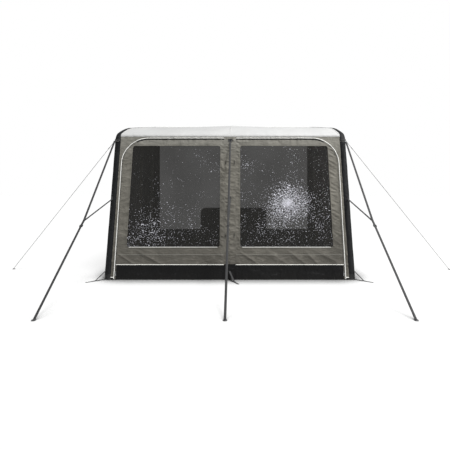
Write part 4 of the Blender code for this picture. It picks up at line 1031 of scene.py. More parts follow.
def followed(points, place, slack, lift, step=0.02, closed=False):
    """A 2-D route laid on a piece of cloth, following its folds at a lift."""
    return [place(p.x, p.y, slack(p.x, p.y) + lift) for p in resampled(points, step, closed)]


def rounded(corners, count=9, closed=True):
    """The outline through (point, radius) corners, with an arc at each corner that has a radius."""
    points = []
    for i, (spot, radius) in enumerate(corners):
        if not radius or not (closed or 0 < i < len(corners) - 1):
            points.append(spot.copy())
            continue
        before = (corners[i - 1][0] - spot).normalized()
        after = (corners[(i + 1) % len(corners)][0] - spot).normalized()
        half = before.angle(after) / 2
        centre = spot + (before + after).normalized() * (radius / math.sin(half))
        start = spot + before * (radius / math.tan(half)) - centre
        end = spot + after * (radius / math.tan(half)) - centre
        turn = math.pi - 2 * half
        points += [centre + (math.sin((1 - share) * turn) * start + math.sin(share * turn) * end) / math.sin(turn)
                   for share in steps(0, 1, count)]
    return points


def grown(corners, distance):
    """Corners of an anticlockwise outline moved out square to its edges, and their radii with them."""
    moved = []
    for i, (spot, radius) in enumerate(corners):
        before = (spot - corners[i - 1][0]).normalized()
        after = (corners[(i + 1) % len(corners)][0] - spot).normalized()
        mitre = Vector((before.y + after.y, -before.x - after.x)) / (1 + before.dot(after))
        moved.append((spot + distance * mitre, radius + distance if radius else 0))
    return moved


def mirrored(corners, side):
    """Corners drawn for the right side, for either side, still anticlockwise."""
    return corners if side > 0 else [corner(-p.x, p.y, radius) for p, radius in corners[::-1]]


def arrayed(loop):
    """A loop of 2-D points as an array."""
    return np.array([(p.x, p.y) for p in loop])


def covered(points, loop):
    """Which points lie inside a loop."""
    x, y = points[:, 0], points[:, 1]
    result = np.zeros(len(points), bool)
    for (ax, ay), (bx, by) in zip(loop, np.roll(loop, -1, axis=0)):
        if ay != by:
            result ^= ((ay > y) != (by > y)) & (x < (bx - ax) * (y - ay) / (by - ay) + ax)
    return result


def edge_distance(points, loop):
    """How far each point lies from a loop."""
    nearest = np.full(len(points), np.inf)
    for a, b in zip(loop, np.roll(loop, -1, axis=0)):
        run = b - a
        share = np.clip(((points - a) @ run) / max(run @ run, 1e-12), 0, 1)
        nearest = np.minimum(nearest, np.linalg.norm(points - a - share[:, None] * run, axis=1))
    return nearest


def cut_cloth(outline, holes, step):
    """Points and triangles of a flat cut with holes, on a grid a step apart."""
    loops = [resampled(loop, step) for loop in (outline, *holes)]
    shapes = [arrayed(loop) for loop in loops]

    def in_cut(points):
        keep = covered(points, shapes[0])
        for shape in shapes[1:]:
            keep &= ~covered(points, shape)
        return keep
    low, high = shapes[0].min(0), shapes[0].max(0)
    grid = np.stack(np.meshgrid(np.arange(low[0] + step / 2, high[0], step),
                                np.arange(low[1] + step / 2, high[1], step)), -1).reshape(-1, 2)
    grid = grid[in_cut(grid)]
    for shape in shapes:
        grid = grid[edge_distance(grid, shape) > step * 0.45]
    corners, edges = [], []
    for loop in loops:
        first = len(corners)
        corners += [Vector((p.x, p.y)) for p in loop]
        edges += [(first + i, first + (i + 1) % len(loop)) for i in range(len(loop))]
    corners += [Vector((float(x), float(y))) for x, y in grid]
    points, _, faces, *_ = geometry.delaunay_2d_cdt(corners, edges, [], 0, 1e-7)
    flat = arrayed(points)
    faces = np.array([face for face in faces if len(face) == 3])
    return flat, faces[in_cut(flat[faces].mean(1))]


def doubled(faces, count):
    """A sheet's faces with those of its back, whose points come so many later, and of the rims between."""
    rim = {}
    for face in faces:
        for edge in zip(face, face[1:] + face[:1]):
            if not rim.pop(edge[::-1], False):
                rim[edge] = True
    back = [[i + count for i in face[::-1]] for face in faces]
    return faces + back + [(b, a, a + count, b + count) for a, b in rim]


def flat_area(outline, holes):
    """The flat area of a cut with holes."""
    total = 0.0
    for sign, loop in [(1, outline)] + [(-1, hole) for hole in holes]:
        total += sign * abs(sum(a.x * b.y - b.x * a.y for a, b in zip(loop, loop[1:] + loop[:1]))) / 2
    return total


def sewn_piece(name, body, finish, slot, outline, place, slack, rests_on, holes=(), held="stretched",
               stands_for=None, cover=COVER, step=MESH_STEP, back=0.0):
    """A cut of cloth laid by place(u, v, out), with slack and a real thickness inwards. It is declared with the
    flat size that its outline gives, or as a straight strip if it is a border."""
    flat, faces = cut_cloth(outline, holes, step)
    spots = [(u, v, slack(u, v) - back) for u, v in flat.tolist()]
    outer = [place(u, v, out) for u, v, out in spots]
    inner = [place(u, v, out - cover) for u, v, out in spots]
    a, b, c = (outer[i] for i in faces[0])
    if (b - a).cross(c - a).dot(outer[faces[0][0]] - inner[faces[0][0]]) < 0:
        faces = faces[:, ::-1]
    mesh = shell(outer + inner, doubled(faces.tolist(), len(flat)), np.concatenate([flat, flat]), mend=False)
    piece = finished(name, mesh, body, finish, slot, stands_for)
    shape = arrayed(outline)
    wide, tall = (shape.max(0) - shape.min(0)).tolist()
    area = min(flat_area(outline, holes), wide * tall)
    if area < 0.32 * wide * tall:
        wide = sum((b - a).length for a, b in zip(outline, outline[1:] + outline[:1])) / 2
        tall = area / wide
    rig.sheet(piece, flat=(wide, tall), held=held, rests_on=list(rests_on),
             area=area if area < 0.97 * wide * tall else None)


# Front wall

FRONT_OUT = outward(WALL_PITCH)
TAPE = strap_section(0.0125, 0.0014)
EDGING = round_section(0.0030)
# How far tapes lie off the cloth, and how closely the zip's trims follow its puckers, in metres
LIFT = 0.0003
PUCKER_STEP = 0.012


def on_front(x, z, out):
    """A place on the front wall, out from its face."""
    return Vector((x, front_y(z), z)) + out * FRONT_OUT


def along_front(points, lift=0.0, step=0.02, closed=False):
    """A 2-D route on the front wall as places that follow its folds."""
    return followed(points, on_front, front_slack, lift, step, closed)


def window_corners():
    """The front window's opening, on the right side."""
    return [corner(x, z, WINDOW_CORNER_RADIUS) for x, z in (
        (WINDOW_INNER_X, WINDOW_SILL), (WINDOW_BASE_X, WINDOW_SILL),
        (WINDOW_TOP_X, WINDOW_HEAD), (WINDOW_INNER_X, WINDOW_HEAD))]


def zip_route(side, inward, low=0.012, last=HINGE_X + 0.008):
    """The front zip's line from its foot to the middle, a distance inside it."""
    corners = [corner(zip_x(0) - inward, low),
               corner(zip_x(ZIP_HEIGHT) - inward, ZIP_HEIGHT - inward, ZIP_CORNER_RADIUS - inward),
               corner(last, ZIP_HEIGHT - inward)]
    return [Vector((side * p.x, p.y)) for p in rounded(corners, 24, closed=False)]


def make_front():
    """The front's cloth, film, hems, piping, zips and stitching."""
    edge = [corner_x(z) - EDGE_OFFSET for z in (0, BEND_Z, SEAM_Z)]
    head, wide = ZIP_HEIGHT + ZIP_GAP, STRIP_HALF_WIDTH
    right = [corner(zip_x(ZIP_HEIGHT) + ZIP_GAP, head, ZIP_CORNER_RADIUS + ZIP_GAP), corner(zip_x(0) + ZIP_GAP, 0),
             corner(edge[0], 0), corner(edge[1], BEND_Z), corner(edge[2], SEAM_Z - GAP)]
    sewn_piece("front_surround_cloth", "canopy", GREY, "grey_cloth", rounded(right + mirrored(right, -1), 16),
               on_front, front_slack, ("corner_sleeve_left", "corner_sleeve_right", "roof_panel"),
               stands_for="front_surround")
    sewn_piece("centre_strip_cloth", "canopy", GREY, "grey_cloth", oblong(-wide, 0, wide, head - GAP), on_front,
               front_slack, ("centre_beam",), stands_for="centre_strip")
    near, far = zip_x(0) + ZIP_GAP + 0.003, edge[0] - 0.003
    patches = [("centre_foot_patch", oblong(-wide, 0.001, wide, 0.20), "centre_strip_cloth", 0.0014)]
    patches += [(f"border_foot_{word}", oblong(side * near, 0.001, side * far, 0.026), "front_surround_cloth",
                 0.0012) for word, side in SIDES]
    for name, outline, under, lift in patches:
        sewn_piece(name, "canopy", BLACK, "black_cloth", outline, on_front,
                   lambda x, z: front_slack(x, z) + lift, (under,), held="laid", cover=0.001)
    for word, side in SIDES:
        for label, finish, low, high in (("foot", BLACK, 0.004, SKIRT_HEIGHT), ("wall", GREY, SKIRT_HEIGHT, head)):
            run = [Vector((side * (wide + 0.001), z)) for z in (low, high - 0.01)]
            trim(f"strip_{label}_backing_{word}", "canopy", finish, "grey_cloth",
                 [(along_front(run, -0.0034), FRONT_OUT)], strap_section(0.022, 0.0008))
        joint = [on_front(side * (corner_x(z) - EDGE_OFFSET + 0.001), z, -0.0022)
                 for z in steps(FOOT_HEIGHT + 0.002, SEAM_Z, 60)]
        trim(f"sleeve_welt_{word}", "canopy", SLEEVE, "sleeve_cloth", [(joint, FRONT_OUT)], EDGING)
        end = [Vector((side * x, 0.031)) for x in (near, far)]
        trim(f"border_end_tape_{word}", "canopy", PIPING, "white_bead", [(along_front(end, 0.0004), FRONT_OUT)],
             strap_section(0.010, 0.0014))
        body = f"front_panel_{word}"
        window = mirrored(window_corners(), side)
        low = SKIRT_HEIGHT + GAP
        panel = [corner(HINGE_X, low), corner(zip_x(low), low),
                 corner(zip_x(ZIP_HEIGHT), ZIP_HEIGHT, ZIP_CORNER_RADIUS), corner(HINGE_X, ZIP_HEIGHT)]
        sewn_piece(f"front_panel_cloth_{word}", body, GREY, "grey_cloth", rounded(mirrored(panel, side), 24),
                   on_front, front_slack, ("centre_strip_cloth",), [rounded(window)], stands_for=body)
        sewn_piece(f"front_film_{word}", body, FILM, "window_film", rounded(grown(window, WINDOW_LAP)), on_front,
                   film_slack, (f"front_panel_cloth_{word}",), stands_for=f"front_window_{word}",
                   cover=FILM_COVER, step=FILM_STEP, back=FILM_BACK)
        skirt = [Vector((side * x, z)) for x, z in ((HINGE_X, 0.001), (zip_x(0), 0.001),
                                                    (zip_x(SKIRT_HEIGHT), SKIRT_HEIGHT), (HINGE_X, SKIRT_HEIGHT))]
        sewn_piece(f"front_mud_skirt_{word}", body, BLACK, "black_cloth", skirt, on_front, front_slack,
                   (f"front_panel_cloth_{word}",), held="hung", stands_for=f"front_skirt_{word}")
        dress_panel(word, side, body, window)


def dress_panel(word, side, body, window):
    """Hems, piping, zip and stitching of one front panel."""
    def dressed(name, carrier, finish, slot, path, section, closed=False):
        trim(f"{name}_{word}", carrier, finish, slot, [(path, FRONT_OUT)], section, closed)

    def level(near, far, z, lift):
        return along_front([Vector((side * near, z)), Vector((side * far, z))], lift)

    def stitched(name, carrier, runs, finish=THREAD, slot="grey_cloth", kind=STITCH):
        bars_along(f"{name}_{word}", carrier, finish, slot, runs, FRONT_OUT, kind)
    hem = along_front(rounded(grown(window, 0.007)), 0.0002, closed=True)
    dressed("window_hem", body, GREY, "grey_cloth", hem, strap_section(0.014, 0.0012), True)
    stitched("window_stitches", body, [
        along_front(rounded(grown(window, distance)), lift, closed=True)
        for distance, lift in ((0.0025, 0.0014), (0.0095, 0.0014), (0.022, LIFT))])
    dressed("window_sill_piping", body, PIPING, "white_bead",
            level(WINDOW_INNER_X + WINDOW_CORNER_RADIUS, WINDOW_BASE_X - WINDOW_CORNER_RADIUS,
                  WINDOW_SILL - 0.001, 0.0012), round_section(0.0034, 10, 0.6))
    low = SKIRT_HEIGHT + 0.003
    dressed("skirt_piping", body, PIPING, "white_bead", level(HINGE_X + 0.007, zip_x(low) - 0.004, low, 0.0012),
            round_section(0.0042, 10, 0.7))
    seam = (HINGE_X + 0.009, zip_x(PANEL_SEAM_Z) - 0.02, PANEL_SEAM_Z)
    dressed("panel_seam", body, SIDE, "grey_cloth", level(*seam, -0.0002), strap_section(0.010, 0.0013))
    stitched("panel_seam_stitches", body, [[p + shift * UP_WALL for p in level(*seam, 0.0015)]
                                           for shift in (-0.003, 0.003)], kind=SEAM_STITCH)
    route = along_front(zip_route(side, 0.0075), LIFT, PUCKER_STEP)
    turn = next(i for i, p in enumerate(route) if p.z > ZIP_HEIGHT - 0.05)
    dressed("zip_side_tape", body, GREY, "grey_cloth", route[:turn + 1], TAPE)
    # The top run's tape is black: a painted shadow that the piping and flap cast on it; the upright runs' tape is grey
    dressed("zip_top_tape", body, BLACK, "grey_cloth", route[turn:], TAPE)
    dressed("zip_flap", "canopy", BLACK, "black_cloth", along_front(zip_route(side, -ZIP_GAP / 2), -0.0034, 0.014),
            strap_section(0.024, 0.0008))
    dressed("zip_piping", "canopy", PIPING, "white_bead",
            along_front(zip_route(side, -ZIP_GAP - 0.0058), 0.0010, PUCKER_STEP), round_section(0.0054, 12, 0.6))
    for label, inward, start, shifts, carrier in (("inner", 0.0006, 0.012, (0.0082, 0.0125), body),
                                                  ("outer", -ZIP_GAP - 0.0006, 0.0136, (-0.0092, -0.012), "canopy")):
        stitched(f"zip_{label}_teeth", carrier, [along_front(zip_route(side, inward, start), 0.0006, PUCKER_STEP)],
                 TEETH, "moulded_plastic", TOOTH)
        stitched(f"zip_{label}_stitches", carrier, [along_front(zip_route(side, inward + shift), 0.0018, 0.015)
                                                    for shift in shifts], kind=ZIP_STITCH)


# Sides

def leg_rear(height):
    """Where a side wall's front edge clears the corner sleeve at a height."""
    return front_y(height) + SIDE_INSET / math.cos(FRONT_LEAN)


def under_roof(low, rear, step=COARSE):
    """A side wall's front and top edges, along the sleeve from a height to a place near the rear."""
    bend = BEAM_BEND - SLEEVE_RADIUS - JOIN_GAP
    return [Vector((point.y, point.z)) for point, _ in side_path(SIDE_INSET, bend, low, rear, step)]


def roof_line(y, drop):
    """A point at y, a drop below the sleeve's underside."""
    path = under_roof(SKIRT_HEIGHT, PAD_FRONT_Y - GAP)
    for first, second in zip(path, path[1:]):
        if first.x <= y <= second.x and second.y > BEND_Z:
            return Vector((y, first.lerp(second, (y - first.x) / (second.x - first.x)).y - drop))
    return Vector((y, path[-1].y - drop))


def door_front(height):
    """The side door's hinge line at a height."""
    return leg_rear(height) + DOOR_STILE


def make_side(word, side):
    """One side: fixed cloth, dark band and skirt, door with its window, hems, zip and stitching."""
    slack, out = side_slack(side), Vector((side, 0, 0))
    wall, door = f"side_wall_cloth_{word}", f"side_door_{word}"

    def place(y, z, lift):
        return Vector((side * (side_x(z) + lift), y, z))

    def edged(corners, lift):
        return followed(rounded(corners), place, slack, lift, closed=True)
    low, rear = SKIRT_HEIGHT + GAP, PAD_FRONT_Y - GAP
    band_front, band_rear = FRONT_Y + BAND_FRONT, FRONT_Y + BAND_REAR
    outline = [Vector((rear, low)), Vector((band_rear + GAP, low)), roof_line(band_rear + GAP, BAND_DROP),
               roof_line(band_front - GAP, BAND_DROP), Vector((band_front - GAP, low))] + under_roof(low, rear)
    foot, door_rear = SKIRT_HEIGHT + ZIP_GAP, FRONT_Y + DOOR_REAR
    corners = [corner(door_front(foot), foot, DOOR_FOOT_RADIUS), corner(door_rear, foot, DOOR_FOOT_RADIUS),
               corner(door_rear, DOOR_REAR_HEIGHT, DOOR_REAR_RADIUS),
               corner(door_front(DOOR_FRONT_HEIGHT), DOOR_FRONT_HEIGHT, DOOR_FRONT_RADIUS)]
    opening = grown(corners, ZIP_GAP)
    for i in (0, 3):
        height = opening[i][0].y
        opening[i] = corner(door_front(height) - GAP, height, opening[i][1])
    sewn_piece(wall, "canopy", SIDE, "grey_cloth", outline, place, slack, (f"corner_sleeve_{word}",),
               [rounded(opening)], "hung", f"side_wall_{word}", step=WIDE_STEP)
    trim(f"side_sleeve_welt_{word}", "canopy", SLEEVE, "sleeve_cloth",
         [([place(p.x, p.y, -0.0022) for p in under_roof(low, rear, 0.03)], out)], EDGING)
    drop = BAND_DROP + GAP / math.cos(ROOF_PITCH)
    band = [Vector((leg_rear(0), 0.001)), Vector((rear, 0.001)), Vector((rear, SKIRT_HEIGHT)),
            Vector((band_rear, SKIRT_HEIGHT)), roof_line(band_rear, drop), roof_line(band_front, drop),
            Vector((band_front, SKIRT_HEIGHT)), Vector((leg_rear(SKIRT_HEIGHT), SKIRT_HEIGHT))]
    sewn_piece(f"side_dark_cloth_{word}", "canopy", BLACK, "black_cloth", band, place, slack, (wall,),
               held="hung", stands_for=f"side_black_panel_{word}", step=WIDE_STEP)
    inner = [p for p, _ in grown(corners, -DOOR_FRAME)]
    sill = SIDE_WINDOW_SILL
    window = [corner(y, z, SIDE_WINDOW_RADIUS) for y, z in (
        (door_front(sill) + DOOR_FRAME, sill), (inner[1].x, sill), inner[2], inner[3])]
    sewn_piece(f"side_door_cloth_{word}", door, SIDE, "grey_cloth", rounded(corners), place, slack, (wall,),
               [rounded(window)], stands_for=door)
    sewn_piece(f"side_film_{word}", door, FILM, "window_film", rounded(grown(window, WINDOW_LAP)), place, slack,
               (f"side_door_cloth_{word}",), stands_for=f"side_window_{word}", cover=FILM_COVER, step=FILM_STEP,
               back=FILM_BACK)
    trim(f"side_window_hem_{word}", door, SIDE, "grey_cloth", [(edged(grown(window, 0.006), 0.0002), out)],
         strap_section(0.012, 0.0012), True)
    bars_along(f"side_window_stitches_{word}", door, PALE_THREAD, "white_bead",
               [edged(grown(window, distance), 0.0014) for distance in (0.0025, 0.0095)], out)
    trim(f"side_door_tape_{word}", door, HEM, "white_bead", [(edged(grown(corners, -0.0085), LIFT), out)], TAPE, True)
    free = [p for p in rounded(grown(corners, 0.0005)) if p.x > door_front(p.y) + 0.01]
    start = min(range(len(free)), key=lambda i: (free[i].y, free[i].x))
    bars_along(f"side_door_teeth_{word}", door, TEETH, "moulded_plastic",
               [followed(free[start:] + free[:start], place, slack, 0.0006)], out, TOOTH)
    spot = corners[1][0] + Vector((-0.001, PULL_HEIGHT))

    def pull_place(u, v, w):
        return place(spot.x + u, spot.y + v, slack(*spot) + w)
    parts = [block_mesh(pull_place, (-0.0045, 0, 0.0006), (0.0045, 0.011, 0.0048), 0.0009),
             block_mesh(pull_place, (-0.003, -0.026, 0.0030), (0.003, 0.004, 0.0044), 0.0005)]
    finished(f"side_door_zip_pull_{word}", joined_mesh(parts), door, STEEL, "zip_metal")


# Roof

def roof_top(x, y):
    """How far the roof stands above its plane: the middle beam's lift, the cloth's sag and its folds."""
    half = EAVE_HALF_WIDTH - EDGE_OFFSET
    share = min(1, abs(x) / half)
    from_eave = y - front_y(SEAM_Z)
    run = min(1, max(0, from_eave / (REAR_Y - front_y(SEAM_Z))))
    slack = 0.0030 * ripple(x * 1.5, y * 1.2, 41.0) + 0.0012 * ripple(x * 5, y * 4, 43.0)
    slack += 0.0030 * (creased(x * 7.5, y * 1.5, 44.4) - 0.3) * faded(from_eave, 0.14)
    slack += 0.0016 * ripple(x * 3, y * 19, 45.9) * faded(half - abs(x), 0.05)
    slack += 0.0014 * ripple(x * 22, y * 3, 46.1) * faded(x, 0.04)
    return (ridge(y) * (1 - share) ** RIDGE_FALL_POWER - 0.006 * math.sin(math.pi * share) * math.sin(math.pi * run)
            + slack * min(1, 8 * (1 - run) + 0.15))


def make_roof():
    """The roof cloth with its eave, ridge and edge seams."""
    half = EAVE_HALF_WIDTH - EDGE_OFFSET
    stations = side_path(0, EAVE_RADIUS, SEAM_Z, REAR_Y - 2 * KEDER_RADIUS - GAP, 0.02)
    across = steps(-half, half, 150)
    points, places = [], []
    for layer in (0, COVER):
        travelled = 0.0
        for i, (point, pitch) in enumerate(stations):
            travelled += (point - stations[i - 1][0]).length if i else 0
            for x in across:
                lift = roof_top(x, point.y) if i else front_slack(x, SEAM_Z)
                points.append(Vector((x, point.y, point.z)) + outward(pitch) * (lift - layer))
                places.append((x, travelled))
    rows, cols = len(stations), len(across)
    cells = [r * cols + c for r in range(rows - 1) for c in range(cols - 1)]
    faces = doubled([[a, a + 1, a + cols + 1, a + cols] for a in cells], rows * cols)
    roof = finished("roof_cloth", shell(points, faces, places, mend=False), "canopy", ROOF, "roof_cloth",
                    "roof_panel")
    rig.sheet(roof, flat=(2 * half, travelled), held="stretched",
             rests_on=["corner_sleeve_left", "corner_sleeve_right", "centre_beam", "keder_bead"])

    def along_roof(x, lift, first=0):
        return [Vector((x, p.y, p.z)) + outward(pitch) * (roof_top(x, p.y) + lift) for p, pitch in stations[first:]]
    outs = [outward(pitch) for _, pitch in stations]
    lines = (-half + 0.012, 0.0, half - 0.012)
    trim("roof_seam_tapes", "canopy", ROOF, "roof_cloth", [(along_roof(x, 0, 6), outs[6:]) for x in lines],
         strap_section(0.020, 0.0013))
    bars_along("roof_stitches", "canopy", PALE_THREAD, "white_bead",
               [along_roof(x + shift, 0.0014, 6) for x in lines for shift in (-0.006, 0.006)],
               outward(ROOF_PITCH), LONG_STITCH)
    trim("roof_sleeve_welts", "canopy", SLEEVE, "sleeve_cloth",
         [(along_roof(x, -0.0026), outs) for x in (-half - 0.001, half + 0.001)], round_section(0.0032))
    lip = [on_front(x, SEAM_Z, front_slack(x, SEAM_Z) + 0.0004) for x in across]
    trim("eave_seam_flap", "canopy", ROOF, "roof_cloth", [(lip, FRONT_OUT)], strap_section(0.014, 0.0016))
    bars_along("eave_stitches", "canopy", THREAD, "grey_cloth",
               [[p + shift * UP_WALL + 0.0017 * FRONT_OUT for p in lip] for shift in (-0.004, 0.004)], FRONT_OUT,
               EAVE_STITCH)


# Air beams, sleeves and feet

def tube_rings(side, inset, radius, low, step, sides, slack):
    """Rings of a beam or sleeve from a level foot to an upright rear end, with their flat places."""
    stations = side_path(inset, BEAM_BEND, low, REAR_Y - REAR_CLEARANCE, step)
    turns = [2 * math.pi * k / sides for k in range(sides)]
    rings, places, travelled = [], [], 0.0
    for i, (point, pitch) in enumerate(stations):
        travelled += (point - stations[i - 1][0]).length if i else 0
        out = -BACK if i == 0 else UP if i == len(stations) - 1 else outward(pitch)
        centre = Vector((side * corner_x(point.z), point.y, point.z + (0 if side else ridge(point.y))))
        rings.append([centre + (radius + slack(turn, travelled)) * (math.cos(turn) * ACROSS + math.sin(turn) * out)
                      for turn in turns])
        places += [(radius * turn, travelled) for turn in turns]
    return rings, places, travelled


def make_beam(word, side):
    """One inflated beam and its foot; a corner beam is slimmer under its sleeve, the middle one shows folds."""
    inset, radius = (SLEEVE_INSET, BEAM_RADIUS - 0.0012) if side else (CENTRE_INSET, CENTRE_RADIUS)

    def swell(turn, along):
        return 0 if side else -0.0012 + 0.0008 * ripple(turn, along * 5, 51) - 0.0012 * creased(
            math.cos(turn) * 2, math.sin(turn) * 2 + along * 1.4, 52.0)
    rings, places, _ = tube_rings(side, inset, radius, FOOT_FLOOR + GAP, 0.03, 32, swell)
    name = f"corner_beam_{word}" if side else "centre_beam"
    piece = finished(f"air_{name}", ring_mesh(rings, places=places), "canopy", SKIN, "beam_skin", name)
    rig.padded(piece, fill=1.0)
    base, top = (leg_centre(side, height, inset) for height in (0, FOOT_HEIGHT))
    radius = SLEEVE_RADIUS if side else CENTRE_RADIUS + GAP + SLEEVE_WALL
    inner = radius - SLEEVE_WALL
    profile = [(radius * share, height) for share, height in (
        (0.93, 0), (0.985, 0.002), (1, 0.006), (1, 0.020), (0.97, 0.023), (0.97, 0.030), (1, 0.033),
        (1, FOOT_HEIGHT - 0.008), (1, FOOT_HEIGHT - 0.002), (0.985, FOOT_HEIGHT))]
    profile += [(radius - SLEEVE_WALL * 1.1, FOOT_HEIGHT - 0.001), (inner, FOOT_HEIGHT - 0.006), (inner, FOOT_FLOOR)]
    rings = []
    for size, height in profile:
        centre = base.lerp(top, height / FOOT_HEIGHT)
        centre.z = height
        rings.append(ring(centre, size * ACROSS, size * BACK, 48))
    finished(f"moulded_foot_{word}", ring_mesh(rings), "canopy", PLASTIC, "moulded_plastic", f"beam_foot_{word}")


def make_sleeve(word, side):
    """A corner beam's cloth sleeve with its two felled seams."""
    def pull(turn, along):
        x, y = math.cos(turn), math.sin(turn)
        return min(0.0004, -0.0014 + 0.0016 * ripple(x * 1.6, y * 1.6, along * 7 + side)
                   - 0.0016 * creased(x * 1.2, y * 1.2 + along * 2.6, 55.5 + side))
    (outer, places, length), (inner, more, _) = (
        tube_rings(side, SLEEVE_INSET, radius, FOOT_HEIGHT + GAP, 0.014, 48, pull)
        for radius in (SLEEVE_RADIUS, SLEEVE_RADIUS - COVER))
    mesh = ring_mesh(outer + inner[::-1], True, places + more[::-1])
    sleeve = finished(f"beam_sleeve_{word}", mesh, "canopy", SLEEVE, "sleeve_cloth", f"corner_sleeve_{word}")
    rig.sheet(sleeve, flat=(2 * math.pi * SLEEVE_RADIUS, length), held="stretched",
             rests_on=[f"air_corner_beam_{word}"])
    seams, rows = [], []
    # The felled seams follow two points of the rings, 38 and 142 degrees round from the right
    for k in (5, 19):
        path = [row[k] for row in outer[2:-2:2]]
        outs = [(row[k] - sum(row, Vector()) / len(row)).normalized() for row in outer[2:-2:2]]
        seams.append((path, outs))
        rows.append([p + 0.0013 * out for p, out in zip(path, outs)])
    trim(f"sleeve_seams_{word}", "canopy", SLEEVE, "sleeve_cloth", seams, strap_section(0.011, 0.0012))
    bars_along(f"sleeve_stitches_{word}", "canopy", THREAD, "sleeve_cloth", rows, FRONT_OUT, LONG_STITCH)


# Rear pads and skirts

def make_pad(word, side):
    """A foam pad at a side's rear edge, crowned and tufted, with piping and stitching down its edges."""
    tall = side_path(SIDE_INSET, BEAM_BEND - SLEEVE_RADIUS - JOIN_GAP, 0, PAD_FRONT_Y, 0.5)[-1][0].z
    middle = Vector((side * (PAD_INNER_X + PAD_OUTER_X) / 2, (PAD_FRONT_Y + REAR_Y) / 2, 0))
    half_x, half_y = (PAD_OUTER_X - PAD_INNER_X) / 2, PAD_THICKNESS / 2
    sides, rows = 48, 110
    rings, places = [], []
    for r in range(rows + 1):
        z = 0.002 + (tall - 0.004) * r / rows
        ends = min(1, min(r, rows - r) / 3)
        tuft = 0.0028 * creased(0, z * 1.6, 61 + side) + 0.0015 * ripple(z * 9, 62, side)
        row = []
        for k in range(sides):
            # A rounded oblong, crowned and tufted on the side that faces the room
            turn = 2 * math.pi * k / sides
            c, s = math.cos(turn), math.sin(turn)
            x = half_x * math.copysign(abs(c) ** 0.28, c)
            if s < 0:
                y = -half_y * math.sqrt(-s) * (1 - 0.14 * (x / half_x) ** 2) + tuft * (1 - abs(c))
                y += 0.0012 * ripple(x * 20, z * 14, 63)
            else:
                y = half_y * s ** 0.28
            row.append(middle + Vector((x * (0.96 + 0.04 * ends), y * (0.80 + 0.20 * math.sin(ends * math.pi / 2)),
                                        z)))
            places.append((k / sides * 0.48, z))
        rings.append(row)
    pad = finished(f"foam_rear_pad_{word}", ring_mesh(rings, places=places), "canopy", FOAM, "foam_pad",
                   f"rear_pad_{word}")
    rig.padded(pad, fill=0.8)
    seams, threads = [], []
    for turn in (-1, 1):
        path = [middle + Vector((turn * (half_x - 0.0145), -half_y * 0.93, z))
                for z in steps(0.012, tall - 0.012, 40)]
        seams.append((path, -BACK))
        threads.append([p + Vector((-turn * 0.006, -0.0018, 0)) for p in path])
    trim(f"pad_piping_{word}", "canopy", SLEEVE, "foam_pad", seams, round_section(0.0024, 8))
    bars_along(f"pad_stitches_{word}", "canopy", THREAD, "foam_pad", threads, -BACK, PAD_STITCH)


def make_rear():
    """The draught skirt and the wheel arch cover."""
    wide = PAD_INNER_X - JOIN_GAP
    face = REAR_Y - PAD_ROUNDING - CLOTH - GAP

    def slack(x, z):
        loose = 1 - z / WHEEL_HEIGHT
        return min(0.006, 0.006 * ripple(x * 3.2, z * 1.4, 71) * loose + 0.004 * (creased(x * 3.1, z * 2, 72) - 0.4))

    def skirt_place(x, z, out):
        return Vector((x, face - out, z))

    def cover_place(x, z, out):
        return Vector((x, face - CLOTH - GAP - out, z))
    sewn_piece("draught_skirt_cloth", "canopy", BLACK, "black_cloth", oblong(-wide, 0.001, wide, DRAUGHT_HEIGHT),
               skirt_place, slack, ("rear_pad_left", "rear_pad_right"), held="hung", stands_for="draught_skirt",
               step=FILM_STEP)
    corners = [corner(-WHEEL_HALF_WIDTH, 0.001), corner(WHEEL_HALF_WIDTH, 0.001),
               corner(WHEEL_HALF_WIDTH, WHEEL_HEIGHT, WHEEL_CORNER_RADIUS),
               corner(-WHEEL_HALF_WIDTH, WHEEL_HEIGHT, WHEEL_CORNER_RADIUS)]
    sewn_piece("wheel_arch_cloth", "canopy", BLACK, "black_cloth", rounded(corners), cover_place, slack,
               ("draught_skirt_cloth",), held="hung", stands_for="wheel_arch_cover", step=FILM_STEP)
    binding = followed(rounded(grown(corners, -0.008)), cover_place, slack, 0.0002, closed=True)
    trim("wheel_arch_binding", "canopy", SLEEVE, "black_cloth", [(binding, -BACK)], strap_section(0.016, 0.0014),
         True)


# Storm straps

BAR_HEIGHT = ANCHOR_HEIGHT - ANCHOR_TALL / 2
BAR_Y = front_y(BAR_HEIGHT) - LOOP_REACH - LOOP_ROD
EYE_INNER = LOOP_ROD + EYE_CLEARANCE
PEG_EYE_INNER = PEG_ROD + EYE_CLEARANCE
PEG_BAR_Z = PEG_EYE_INNER + EYE_WALL + GAP
TOP_BAR = Vector((BAR_Y, BAR_HEIGHT))
JUNCTION = Vector((FRONT_Y - JUNCTION_REACH, JUNCTION_HEIGHT))
PEG_BAR = Vector((FRONT_Y - PEG_REACH, PEG_BAR_Z))
UPPER = (JUNCTION - TOP_BAR).normalized()
LOWER = (PEG_BAR - JUNCTION).normalized()
WEB_STEP = 0.03


def strap_place(side):
    """Lays (across, y, z) in a strap's plane, which splays outwards at the corners."""
    splay = side * STRAP_SPLAY
    middle = side * (corner_x(ANCHOR_HEIGHT) + STRAP_SIDE_OFFSET)
    return lambda across, y, z: Vector((middle + splay * (BAR_Y - y) + across, y, z))


def left_of(direction):
    """The direction turned a quarter anticlockwise."""
    return Vector((-direction.y, direction.x))


